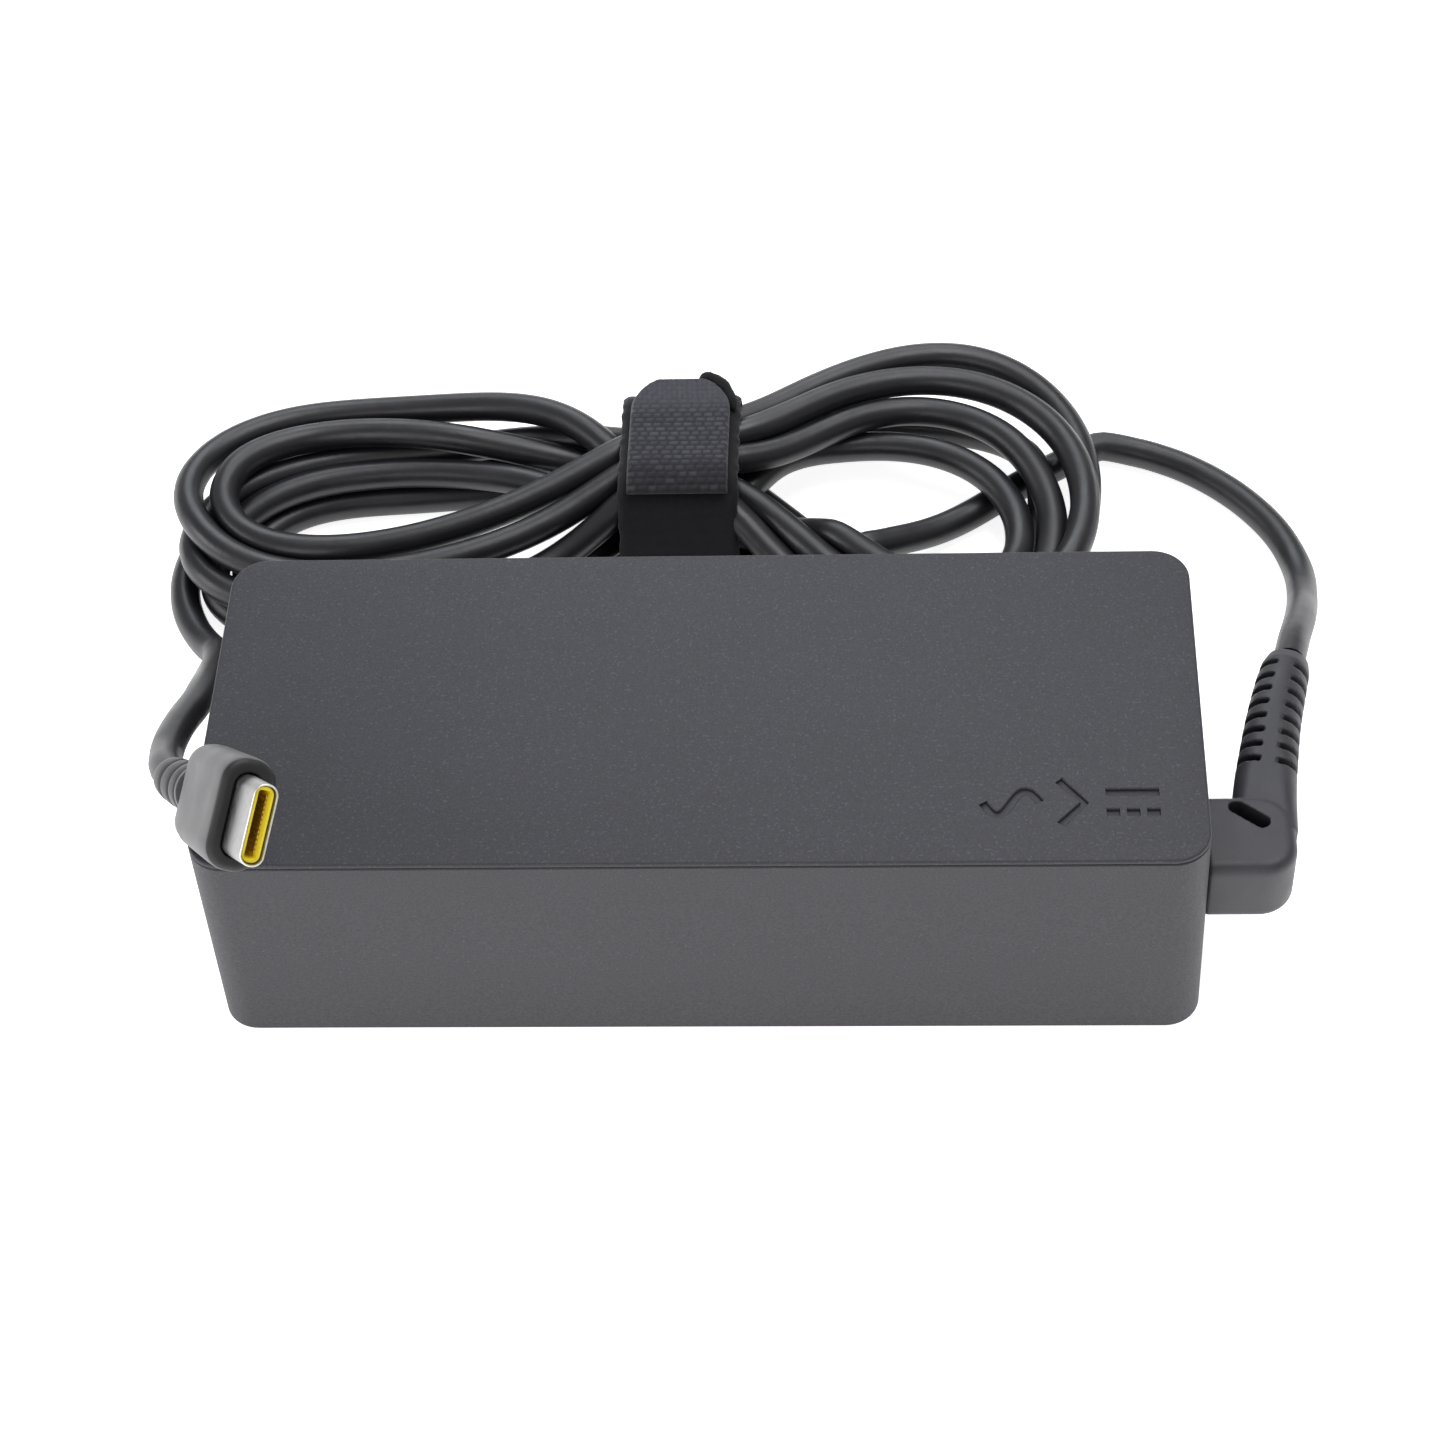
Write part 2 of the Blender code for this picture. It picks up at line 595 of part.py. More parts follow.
def insulation_and_shield(sheet_mat, shield_mat):
    x0, x1 = BOARD_X0 + 4.5, BOARD_X1 - 4.5
    block("insulation_sheet", (x0, -17.6, WALL + GAP), (x1, 17.6, WALL + 0.6), sheet_mat)
    side, low = BOARD_HALF + 0.6, WALL + 1.1
    channel("emi_shield", [(-side, 22.0), (-side, low), (side, low), (side, 22.0)], 0.4, x0, x1, shield_mat)


def standing_can(name, x, y, radius, height, mat):
    profile = [(ON_BOARD, radius - 0.3), (ON_BOARD + 0.5, radius), (ON_BOARD + height - 0.5, radius),
               (ON_BOARD + height, radius - 0.5)]
    return turned(name, profile, along_z(x, y), mat)


def disc(name, x, y, radius, thick, mat):
    """A disc part on edge, its face towards +X."""
    profile = [(x - thick / 2, radius * 0.8), (x - thick / 4, radius), (x + thick / 4, radius),
               (x + thick / 2, radius * 0.8)]
    return turned(name, profile, along_x(y, ON_BOARD + radius), mat)


def mains_filter(mats):
    block("fuse", (-31.4, -16.2, ON_BOARD), (-23.0, -12.0, ON_BOARD + 7.6), mats["fuse"])
    disc("varistor", -26.5, 12.6, 4.6, 3.6, mats["varistor"])
    block("x_capacitor", (-21.4, -17.6, ON_BOARD), (-8.8, -11.8, ON_BOARD + 11.5), mats["x_capacitor"])
    disc("y_capacitor", -20.4, 13.8, 3.6, 2.8, mats["y_capacitor"])
    disc("inrush_thermistor", 10.4, 4.2, 3.3, 3.0, mats["thermistor"])
    place = along_x(1.5, ON_BOARD + 8.2)
    sleeve("choke_core", circle(6.4, 24), circle(3.9, 24), -18.4, -13.6, place, mats["ferrite"])
    for name, start in (("choke_winding_line", -62), ("choke_winding_neutral", 118)):
        choke_winding(name, start, mats["copper"])
    block("bridge_rectifier", (-8.2, -7.6, ON_BOARD), (-4.8, 7.4, ON_BOARD + 11.0), mats["epoxy"])


def choke_winding(name, start, mat):
    """A wound sleeve round part of the choke's ring, open at both ends."""
    centre, steps = Vector((-16.0, 1.5, ON_BOARD + 8.2)), 8
    points, faces = [], []
    section = [rounded(6.9, 4.6, 0.9, 1), rounded(5.4, 3.1, 0.3, 1)]
    count = len(section[0])
    for step in range(steps + 1):
        turn = math.radians(start + 124 * step / steps)
        out = Vector((0, math.cos(turn), math.sin(turn)))
        for loop in section:
            points += [centre + out * (5.15 + across) + Vector((along, 0, 0)) for along, across in loop]
    size = 2 * count
    for step in range(steps):
        for i in range(count):
            j = (i + 1) % count
            a, b = step * size, (step + 1) * size
            faces.append((a + i, a + j, b + j, b + i))
            faces.append((b + count + i, b + count + j, a + count + j, a + count + i))
    for i in range(count):
        j = (i + 1) % count
        last = steps * size
        faces.append((i, count + i, count + j, j))
        faces.append((last + j, last + count + j, last + count + i, last + i))
    return put(name, points, faces, mat)


def primary_side(mats):
    profile = [(-3.0, 7.4), (-2.6, 8.0), (19.6, 8.0), (19.9, 7.5), (20.5, 7.5), (20.8, 8.0), (21.2, 8.0), (21.5, 7.5)]
    turned("bulk_capacitor", profile, along_x(-9.4, ON_BOARD + 8.4), mats["can_sleeve"], 24)
    block("primary_heatsink", (-3.0, 16.8, ON_BOARD), (12.4, 18.2, ON_BOARD + 16.0), mats["aluminium"])
    block("primary_thermal_pad", (0.4, 16.0, ON_BOARD + 2.0), (10.4, 16.5, ON_BOARD + 15.5), mats["pad"])
    block("power_transistor", (0.4, 11.2, ON_BOARD), (10.4, 15.7, ON_BOARD + 15.0), mats["epoxy"])
    block("optocoupler", (-2.6, 1.2, ON_BOARD), (2.0, 7.7, ON_BOARD + 3.5), mats["epoxy_light"])
    block("control_chip", (3.4, 1.6, ON_BOARD), (7.4, 6.6, ON_BOARD + 1.6), mats["epoxy"])


def transformer(mats):
    x, y, z = 26.2, 9.2, ON_BOARD + 8.9
    half_x, half_y, leg, limb, yoke = 12.2, 8.5, 3.9, 3.6, 3.0
    outer = rounded(2 * half_x, 2 * half_y, 0.4, 1)
    core = stack("transformer_core", [(z - 4.4, outer), (z + 4.4, outer)], along_z(x, y), mats["ferrite"])
    middle = (leg + half_x - limb) / 2
    for side in (-1, 1):
        window = rounded(half_x - limb - leg, 2 * (half_y - yoke), 0.3, 1)
        cutter = stack(f"core_window_{side}", [(z - 6.0, window), (z + 6.0, window)],
                       along_z(x + side * middle, y), None)
        boolean(core, cutter, "DIFFERENCE")
    across = along_y(x, z)
    hole = rounded(9.4, 2 * leg + 0.6, 0.3, 2)
    drum, wrap, cheek = rounded(10.6, 9.6, 0.9, 2), rounded(16.8, 16.4, 2.6, 2), rounded(17.4, 16.8, 0.9, 2)
    end = half_y - yoke - GAP
    bobbin = stack("transformer_bobbin", [(y - end, cheek), (y - end + 0.8, cheek), (y - end + 0.8, drum),
                                          (y + end - 0.8, drum), (y + end - 0.8, cheek), (y + end, cheek)],
                   across, mats["bobbin"])
    boolean(bobbin, stack("bobbin_hole", [(y - 12.0, hole), (y + 12.0, hole)], across, None), "DIFFERENCE")
    inner = rounded(11.2, 10.2, 1.2, 2)
    sleeve("transformer_winding", wrap, inner, y - end + 1.1, y + end - 1.1, across, mats["tape"])


def secondary_side(mats):
    for i, (x, y) in enumerate(((26.6, -13.4), (35.4, -13.4), (35.4, -4.6))):
        standing_can(f"output_capacitor_{i + 1}", x, y, 4.0, 15.0, mats["can_silver"])
    standing_can("output_choke", 26.6, -4.6, 3.7, 8.5, mats["ferrite"])
    block("secondary_heatsink", (40.4, 0.4, ON_BOARD), (41.6, 15.8, ON_BOARD + 15.0), mats["aluminium"])
    block("secondary_thermal_pad", (41.9, 2.4, ON_BOARD + 2.0), (42.4, 12.4, ON_BOARD + 14.5), mats["pad"])
    block("rectifier_transistor", (42.7, 2.4, ON_BOARD), (47.2, 12.4, ON_BOARD + 14.5), mats["epoxy"])
    block("usb_pd_board", (41.0, -17.0, ON_BOARD), (42.0, -5.0, ON_BOARD + 12.5), mats["board"])
    block("usb_pd_chip", (39.85, -13.6, ON_BOARD + 4.0), (40.7, -8.6, ON_BOARD + 9.0), mats["epoxy"])


def inner_wires(mats):
    for name, (y, z) in PIN_PLACES.items():
        pin_end = INLET_BACK_X + 2.4 + GAP
        foot = 1.6 * y
        route = [(pin_end, y, INLET_Z + z), (pin_end + 2.2, y, INLET_Z + z - 0.5),
                 (pin_end + 3.4, (y + foot) / 2, 11.0), (pin_end + 3.6, foot, ON_BOARD)]
        tube(f"mains_wire_{name}", smooth_route(route, 2.5), 0.7, mats[name])
    for name, offset in (("positive", 2.4), ("negative", -2.4), ("signal", 0.0)):
        end = LENGTH / 2 - WALL - DRAFT - 2 * GAP - 1.4
        y = BOOT_Y + offset
        route = [(end, y, BOOT_Z), (end - 2.4, y, BOOT_Z - 0.6), (end - 4.2, y, BOOT_Z - 4.0),
                 (end - 4.6, y, ON_BOARD)]
        tube(f"output_wire_{name}", smooth_route(route, 2.5), 0.6, mats[name])


# ---------------------------------------------------------------- the adapter

def main():
    clear_scene()
    case = material("case_plastic", (0.085, 0.083, 0.095), 0.55)
    cord_skin = material("cord_skin", (0.035, 0.034, 0.04), 0.42)
    bottom_shell(case)
    top_cover(case)
    rating_label(material("label_film", (0.10, 0.10, 0.11), 0.35))
    inlet_body(material("inlet_plastic", (0.02, 0.02, 0.022), 0.5))
    tin = material("tinned_brass", (0.75, 0.73, 0.68), 0.25, 1.0)
    for name in PIN_PLACES:
        inlet_pin(name, tin)

    boot_rubber = material("boot_rubber", (0.08, 0.078, 0.085), 0.6)
    cord_boot(boot_rubber)
    brick_lead(cord_skin)
    plug_lead(cord_skin)
    cord_hank(cord_skin)
    textile = material("strap_textile", (0.02, 0.02, 0.022), 0.9)
    for make in (strap_band, strap_tail, strap_neck):
        make(textile)

    plug_overmould(material("plug_plastic", (0.12, 0.12, 0.125), 0.55))
    plug_strain_relief(boot_rubber)
    plug_shell(material("plug_steel", (0.8, 0.8, 0.8), 0.25, 1.0))
    plug_insert(material("plug_insert_yellow", (0.75, 0.62, 0.03), 0.4))
    gold = material("contact_gold", (0.85, 0.62, 0.25), 0.3, 1.0)
    for side in (1, -1):
        plug_contacts(side, gold)
    board_green = material("board_green", (0.03, 0.16, 0.06), 0.4)
    plug_card(board_green)

    mats = {
        "board": board_green,
        "fuse": material("fuse_case", (0.05, 0.07, 0.05), 0.5),
        "varistor": material("varistor_coat", (0.03, 0.10, 0.35), 0.35),
        "x_capacitor": material("x_capacitor_case", (0.75, 0.55, 0.08), 0.4),
        "y_capacitor": material("y_capacitor_coat", (0.04, 0.20, 0.50), 0.35),
        "thermistor": material("thermistor_coat", (0.03, 0.06, 0.03), 0.4),
        "ferrite": material("ferrite", (0.05, 0.05, 0.055), 0.6),
        "copper": material("winding_copper", (0.65, 0.28, 0.12), 0.3, 1.0),
        "epoxy": material("epoxy_black", (0.03, 0.03, 0.03), 0.45),
        "epoxy_light": material("epoxy_white", (0.7, 0.7, 0.66), 0.45),
        "can_sleeve": material("capacitor_sleeve", (0.04, 0.05, 0.10), 0.35),
        "can_silver": material("capacitor_can", (0.70, 0.71, 0.72), 0.3, 1.0),
        "aluminium": material("aluminium", (0.72, 0.73, 0.74), 0.4, 1.0),
        "pad": material("thermal_pad", (0.55, 0.60, 0.68), 0.8),
        "bobbin": material("bobbin_phenolic", (0.05, 0.045, 0.04), 0.5),
        "tape": material("winding_tape", (0.80, 0.62, 0.10), 0.35),
        "line": material("wire_brown", (0.20, 0.09, 0.04), 0.4),
        "neutral": material("wire_blue", (0.05, 0.16, 0.45), 0.4),
        "earth": material("wire_green_yellow", (0.20, 0.45, 0.08), 0.4),
        "positive": material("wire_red", (0.55, 0.04, 0.03), 0.4),
        "negative": material("wire_black", (0.02, 0.02, 0.02), 0.4),
        "signal": material("wire_white", (0.75, 0.75, 0.73), 0.4),
    }
    main_board(board_green)
    insulation_and_shield(material("insulation_film", (0.12, 0.12, 0.12), 0.5),
                          material("shield_copper", (0.72, 0.42, 0.24), 0.35, 1.0))
    mains_filter(mats)
    primary_side(mats)
    transformer(mats)
    secondary_side(mats)
    inner_wires(mats)


main()
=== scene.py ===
"""The looks of the laptop power adapter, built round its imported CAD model.

Sizes and places are in millimetres in the model's own frame; place_mesh() and the cord turn them into
metres. +X runs along the housing towards the boot, +Y away from the plug's side, +Z up."""

import json
import math

import bmesh
import bpy
import numpy as np
from mathutils import Matrix, Vector


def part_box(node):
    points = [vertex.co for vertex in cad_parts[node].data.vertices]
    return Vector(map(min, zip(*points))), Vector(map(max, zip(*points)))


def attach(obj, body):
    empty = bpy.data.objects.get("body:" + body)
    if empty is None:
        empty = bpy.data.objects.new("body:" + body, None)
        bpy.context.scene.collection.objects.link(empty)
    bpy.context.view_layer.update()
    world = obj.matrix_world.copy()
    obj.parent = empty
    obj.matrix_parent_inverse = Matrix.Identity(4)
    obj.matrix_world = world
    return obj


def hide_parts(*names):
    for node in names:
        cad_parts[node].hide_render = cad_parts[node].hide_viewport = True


MM = 0.001
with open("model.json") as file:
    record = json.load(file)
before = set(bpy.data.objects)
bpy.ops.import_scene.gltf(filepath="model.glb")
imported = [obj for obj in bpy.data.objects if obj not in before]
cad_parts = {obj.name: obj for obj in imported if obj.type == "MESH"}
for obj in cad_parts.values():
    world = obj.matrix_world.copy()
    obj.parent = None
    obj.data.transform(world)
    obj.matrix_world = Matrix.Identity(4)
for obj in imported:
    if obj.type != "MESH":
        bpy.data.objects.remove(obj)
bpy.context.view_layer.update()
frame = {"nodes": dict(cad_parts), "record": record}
SLOT_OF = {part["node"]: part["material_slot"] for part in frame["record"]["subparts"]}


def node_box(*nodes):
    """The lowest and highest corner of some CAD nodes, in millimetres."""
    boxes = [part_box(node) for node in nodes]
    low = [min(box[0][axis] for box in boxes) / MM for axis in range(3)]
    high = [max(box[1][axis] for box in boxes) / MM for axis in range(3)]
    return low, high


# -------------------- driving sizes

HOUSING_LOW, HOUSING_HIGH = node_box("bottom_shell", "top_cover")
LENGTH, DEPTH, HEIGHT = (HOUSING_HIGH[i] - HOUSING_LOW[i] for i in range(3))
DRAFT, CORNER, EDGE, WALL, GAP = 0.5, 4.0, 0.3, 2.0, 0.3
COVER_SKIRT, SEAM_GAP, SEAM_CHAMFER, REBATE = 0.6, 0.13, 0.12, 1.4
SEAM_LEDGE, TONGUE_OUT, TONGUE_IN = 1.0, 1.3, 2.3  # how far in from the housing's side each face lies
WINDOW_CUT = (46.0, 60.0)  # the X, either way, between which the housing's windows are cut
MARK_X, MARK_Y, MARK_HEIGHT, MARK_STROKE, MARK_DEPTH, MARK_FLARE = 39.2, -14.0, 7.4, 0.85, 0.4, 0.12
LABEL, LABEL_THICK = (72.0, 28.0), 0.3
INLET_Z, INLET_BODY, INLET_FACE_X, INLET_BACK_X = 14.6, (20.4, 17.0), -53.7, -36.6
CAVITY_DEPTH, PIN_RADIUS, LOBE_RADIUS, HUB_RADIUS, HUB_RISE = 13.0, 1.2, 3.9, 4.6, 0.8
PIN_PLACES = {"line": (5.0, 2.2), "neutral": (-5.0, 2.2), "earth": (0.0, -3.3)}
BOOT_Y, BOOT_Z, BOOT_RIBS, BOOT_VOXEL = -10.2, 14.8, 8, 0.15
BOOT_NECK, BOOT_FLANGE = (9.2, 7.2), (12.4, 10.4)
STRAP_X, STRAP_WIDTH, STRAP_THICK = -5.3, 14.8, 1.2
STRAP_CORNERS = [(38.6, 0.05, 2.6), (65.4, 0.05, 4.0), (65.4, 14.55, 5.0), (46.8, 14.55, 5.0)]  # Y, Z, radius
TAIL_WIDTH, HINGE_Y = 12.2, 64.2
CORD_RADIUS = 1.85
PLUG_RIM = Vector((-41.0, -31.6, 48.5))
PLUG_AXIS = Vector((0.441, -0.667, 0.601)).normalized()
PLUG_WIDE = Vector((-0.244, -0.733, -0.635))
PLUG_WIDE = (PLUG_WIDE - PLUG_AXIS * PLUG_WIDE.dot(PLUG_AXIS)).normalized()
PLUG_THIN = PLUG_AXIS.cross(PLUG_WIDE)
SHELL, SHELL_OUT, SHELL_WALL, SHELL_HELD = (8.34, 2.56), 6.65, 0.25, 3.5
OVERMOULD, OVERMOULD_LENGTH = (11.6, 5.8), 16.1
RELIEF_END = Vector((-55.4, -11.6, 31.5))
RELIEF_EXIT = Vector((-0.42, 0.76, -0.50)).normalized()


# -------------------- camera, light and floor

CAMERA_TARGET = Vector((1.38, 9.12, 15.0))
CAMERA_AZIMUTH, CAMERA_ELEVATION, CAMERA_ROLL = (math.radians(a) for a in (5.045, 49.928, -4.337))
CAMERA_DISTANCE, CAMERA_LENS, CAMERA_SENSOR = 359.21, 79.18, 36.0
FLOOR_HALF = 3.0  # metres


def make_camera():
    cos_el = math.cos(CAMERA_ELEVATION)
    back = Vector((math.sin(CAMERA_AZIMUTH) * cos_el, -math.cos(CAMERA_AZIMUTH) * cos_el,
                   math.sin(CAMERA_ELEVATION)))
    right = Vector((math.cos(CAMERA_AZIMUTH), math.sin(CAMERA_AZIMUTH), 0))
    up = back.cross(right)
    rolled_right = math.cos(CAMERA_ROLL) * right + math.sin(CAMERA_ROLL) * up
    rolled_up = -math.sin(CAMERA_ROLL) * right + math.cos(CAMERA_ROLL) * up
    data = bpy.data.cameras.new("camera")
    data.lens, data.sensor_width = CAMERA_LENS, CAMERA_SENSOR
    data.clip_start, data.clip_end = 0.01, 20.0
    camera = bpy.data.objects.new("camera", data)
    bpy.context.scene.collection.objects.link(camera)
    turn = Matrix((rolled_right, rolled_up, back)).transposed().to_4x4()
    camera.matrix_world = Matrix.Translation((CAMERA_TARGET + back * CAMERA_DISTANCE) * MM) @ turn
    bpy.context.scene.camera = camera


def area_light(name, place, size, power, colour=(1, 1, 1)):
    """A square softbox in metres and watts that faces the adapter."""
    data = bpy.data.lights.new(name, "AREA")
    data.shape, data.size, data.energy, data.color = "SQUARE", size, power, colour
    light = bpy.data.objects.new(name, data)
    bpy.context.scene.collection.objects.link(light)
    light.location = place
    light.rotation_euler = Vector(place).to_track_quat("Z", "Y").to_euler()


def make_studio():
    """White surroundings, softboxes and a pale floor."""
    scene = bpy.context.scene
    scene.view_settings.view_transform = "Standard"
    world = bpy.data.worlds.new("studio")
    world.use_nodes = True
    background = world.node_tree.nodes["Background"]
    background.inputs["Color"].default_value = (1.0, 1.0, 1.0, 1)
    background.inputs["Strength"].default_value = 0.34
    scene.world = world
    area_light("key_above", (0.3, 0.25, 1.25), 0.8, 8.5)
    area_light("rear_box", (-0.1, 1.1, 0.9), 0.8, 6.5, (0.92, 0.95, 1.0))
    area_light("front_fill", (-0.4, -1.2, 0.55), 0.9, 6.5, (1.0, 0.99, 0.98))
    area_light("left_box", (-1.3, -0.2, 0.5), 0.6, 5.0)
    floor_mesh = bpy.data.meshes.new("floor")
    corners = [(x * FLOOR_HALF, y * FLOOR_HALF, 0) for x, y in ((-1, -1), (1, -1), (1, 1), (-1, 1))]
    floor_mesh.from_pydata(corners, [], [(0, 1, 2, 3)])
    floor = bpy.data.objects.new("floor", floor_mesh)
    bpy.context.scene.collection.objects.link(floor)
    mat = bpy.data.materials.new("floor_paper")
    mat.use_nodes = True
    surface = mat.node_tree.nodes["Principled BSDF"]
    surface.inputs["Base Color"].default_value = (0.92, 0.92, 0.92, 1)
    surface.inputs["Roughness"].default_value = 0.9
    surface.inputs["Specular IOR Level"].default_value = 0.0
    surface.inputs["Emission Color"].default_value = (1, 1, 1, 1)
    surface.inputs["Emission Strength"].default_value = 0.85
    floor_mesh.materials.append(mat)


# -------------------- materials

class Finish:
    """A Principled material with a few node-building shortcuts; scales are per metre of object space."""

    def __init__(self, name, colour, roughness, metallic=0.0, specular=0.5):
        self.mat = bpy.data.materials.new(name)
        self.mat.use_nodes = True
        self.tree = self.mat.node_tree
        self.surface = self.tree.nodes["Principled BSDF"]
        self.colour = colour
        self.surface.inputs["Base Color"].default_value = (*colour, 1)
        self.surface.inputs["Roughness"].default_value = roughness
        self.surface.inputs["Metallic"].default_value = metallic
        self.surface.inputs["Specular IOR Level"].default_value = specular
        self.space = self.tree.nodes.new("ShaderNodeTexCoord").outputs["Object"]
        self.relief = None

    def node(self, kind, **inputs):
        made = self.tree.nodes.new(kind)
        for key, value in inputs.items():
            made.inputs[key.replace("_", " ")].default_value = value
        return made

    def join(self, out, into):
        self.tree.links.new(out, into)

    def noise(self, size, detail=2.0, stretch=(1, 1, 1)):
        """Noise with features about size millimetres across."""
        mapping = self.node("ShaderNodeMapping", Scale=stretch)
        self.join(self.space, mapping.inputs["Vector"])
        noise = self.node("ShaderNodeTexNoise", Scale=1.0 / (size * MM), Detail=detail)
        self.join(mapping.outputs["Vector"], noise.inputs["Vector"])
        return noise.outputs["Fac"]

    def spread(self, value, low, high, to_low, to_high):
        """The value's low..high mapped onto to_low..to_high."""
        node = self.node("ShaderNodeMapRange")
        for key, number in zip(("From Min", "From Max", "To Min", "To Max"), (low, high, to_low, to_high)):
            node.inputs[key].default_value = number
        self.join(value, node.inputs["Value"])
        return node.outputs["Result"]

    def blend_colour(self, share, other):
        """Mixes another colour over the base by a 0..1 share."""
        mix = self.tree.nodes.new("ShaderNodeMix")
        mix.data_type = "RGBA"
        colours = [socket for socket in mix.inputs if socket.type == "RGBA"]
        into = self.surface.inputs["Base Color"]
        if into.is_linked:
            self.join(into.links[0].from_socket, colours[0])
        else:
            colours[0].default_value = (*self.colour, 1)
        colours[1].default_value = (*other, 1)
        self.join(share, mix.inputs[0])
        self.join([s for s in mix.outputs if s.type == "RGBA"][0], into)

    def rough(self, share, low, high):
        self.join(self.spread(share, 0.3, 0.7, low, high), self.surface.inputs["Roughness"])

    def bump(self, height, distance):
        """Adds a bump of so many millimetres over the earlier ones."""
        bump = self.node("ShaderNodeBump", Distance=distance * MM, Strength=1.0)
        self.join(height, bump.inputs["Height"])
        if self.relief:
            self.join(self.relief, bump.inputs["Normal"])
        self.relief = bump.outputs["Normal"]
        self.join(self.relief, self.surface.inputs["Normal"])


def spark_plastic(name, colour, grain, roughness, glint_threshold):
    """Spark-eroded moulded plastic: a fine grain, faint cloudiness and painted glints, sparse pale points in
    its colour.
    """
    made = Finish(name, colour, roughness, specular=0.35)
    fine, cloud = made.noise(grain, 3.0), made.noise(11.0, 2.0)
    made.blend_colour(made.spread(cloud, 0.35, 0.65, 0.0, 0.5), [c * 1.10 for c in colour])
    made.blend_colour(made.spread(fine, 0.40, 0.62, 0.0, 0.5), [c * 0.72 for c in colour])
    glints, patches = made.noise(0.30, 0.0), made.noise(6.0, 1.0)
    # painted glints: sparse pale points mixed into the base colour
    made.blend_colour(made.spread(glints, glint_threshold, glint_threshold + 0.08, 0.0, 0.45), [c * 2.2 for c in colour])
    made.rough(fine, roughness - 0.06, roughness + 0.06)
    made.bump(fine, 0.02)
    made.bump(patches, 0.02)
    return made.mat


def soft_plastic(name, colour, roughness, grain=0.35, wear=1.25):
    """Matte rubber or moulded plastic with a faint mottling and a dusty lift in its lighter patches."""
    made = Finish(name, colour, roughness)
    fine, patch = made.noise(grain, 3.0), made.noise(4.0, 3.0)
    made.blend_colour(made.spread(patch, 0.4, 0.7, 0.0, 0.6), [c * wear for c in colour])
    made.blend_colour(made.spread(fine, 0.45, 0.7, 0.0, 0.25), [c * 0.7 for c in colour])
    made.rough(patch, roughness - 0.06, roughness + 0.06)
    made.bump(fine, 0.02)
    return made.mat


def cord_skin():
    """Extruded cord jacket: satin, with faint waviness and a few handling marks."""
    made = Finish("cord_skin", (0.0085, 0.0085, 0.0120), 0.40, specular=0.62)
    wave, fine, marks = made.noise(2.2, 2.0), made.noise(0.18, 2.0), made.noise(7.0, 4.0)
    made.blend_colour(made.spread(marks, 0.5, 0.72, 0.0, 0.5), (0.014, 0.014, 0.019))
    made.rough(marks, 0.34, 0.46)
    made.bump(wave, 0.05)
    made.bump(fine, 0.008)
    return made.mat


def textile(name, dark, light):
    """Woven tape: pale on the raised yarns and dark between them, by the mesh's own point attribute; the dark
    between the yarns is painted shade.
    """
    made = Finish(name, dark, 0.85, specular=0.25)
    made.surface.inputs["Sheen Weight"].default_value = 0.25
    made.surface.inputs["Sheen Roughness"].default_value = 0.4
    yarn = made.tree.nodes.new("ShaderNodeAttribute")
    yarn.attribute_name = "pale"
    # painted shade: the point attribute darkens the tape between its raised yarns
    made.blend_colour(made.spread(yarn.outputs["Fac"], 0.0, 1.0, 0.0, 1.0), light)
    fibre, twist = made.noise(0.09, 2.0, (0.35, 1, 1)), made.noise(0.7, 2.0)
    made.blend_colour(made.spread(twist, 0.45, 0.75, 0.0, 0.3), dark)
    made.bump(fibre, 0.05)
    return made.mat


def metal(name, colour, roughness, brushed=(1, 1, 1), grain=0.25):
    """Bare metal with fine marks, stretched where it is brushed, and a cloudy tarnish."""
    made = Finish(name, colour, roughness, 1.0)
    lines, cloud = made.noise(grain, 3.0, brushed), made.noise(3.0, 3.0)
    made.blend_colour(made.spread(cloud, 0.4, 0.7, 0.0, 0.5), [c * 0.85 for c in colour])
    made.rough(lines, roughness - 0.07, roughness + 0.09)
    made.bump(lines, 0.006)
    return made.mat


def sealed_finish(slot):
    """The finish of a part inside the housing, from the record's own class and colour."""
    entry = next(m for m in frame["record"]["materials"] if m["slot"] == slot)
    colour, kind = entry["base_color"][:3], entry["class"]
    if kind in ("aluminium", "brass", "brushed_steel"):
        return metal("inside_" + slot, colour, 0.38)
    roughness = {"gloss_plastic": 0.28, "cast_iron": 0.62, "rubber": 0.7}.get(kind, 0.5)
    return soft_plastic("inside_" + slot, colour, roughness, 0.25)


# -------------------- mesh helpers

def place_mesh(name, points, faces, mat, sharp=35.0):
    """A smooth-shaded object from points in millimetres; edges over the sharp angle stay crisp."""
    mesh = bpy.data.meshes.new(name)
    mesh.from_pydata([tuple(c * MM for c in point) for point in points], [], faces)
    work = bmesh.new()
    work.from_mesh(mesh)
    bmesh.ops.recalc_face_normals(work, faces=work.faces)
    work.to_mesh(mesh)
    work.free()
    mesh.shade_smooth()
    mesh.set_sharp_from_angle(angle=math.radians(sharp))
    if mat:
        mesh.materials.append(mat)
    obj = bpy.data.objects.new(name, mesh)
    bpy.context.scene.collection.objects.link(obj)
    return obj


def loft(name, rings, mat, sharp=35.0):
    """A closed solid through rings of equal point counts, flat at both ends."""
    count = len(rings[0])
    points = [point for ring in rings for point in ring]
    faces = []
    for i in range(len(rings) - 1):
        for j in range(count):
            k = (j + 1) % count
            faces.append((i * count + j, i * count + k, (i + 1) * count + k, (i + 1) * count + j))
    faces += [tuple(range(count))[::-1], tuple(range(len(points) - count, len(points)))]
    return place_mesh(name, points, faces, mat, sharp)


def sleeve(name, outer_rings, inner_rings, mat, sharp=35.0):
    """An open tube: outer rings, then the inner ones back, joined all round."""
    rings = outer_rings + inner_rings[::-1]
    count = len(rings[0])
    points = [point for ring in rings for point in ring]
    faces = []
    for i in range(len(rings)):
        for j in range(count):
            k, n = (j + 1) % count, (i + 1) % len(rings)
            faces.append((i * count + j, i * count + k, n * count + k, n * count + j))
    return place_mesh(name, points, faces, mat, sharp)


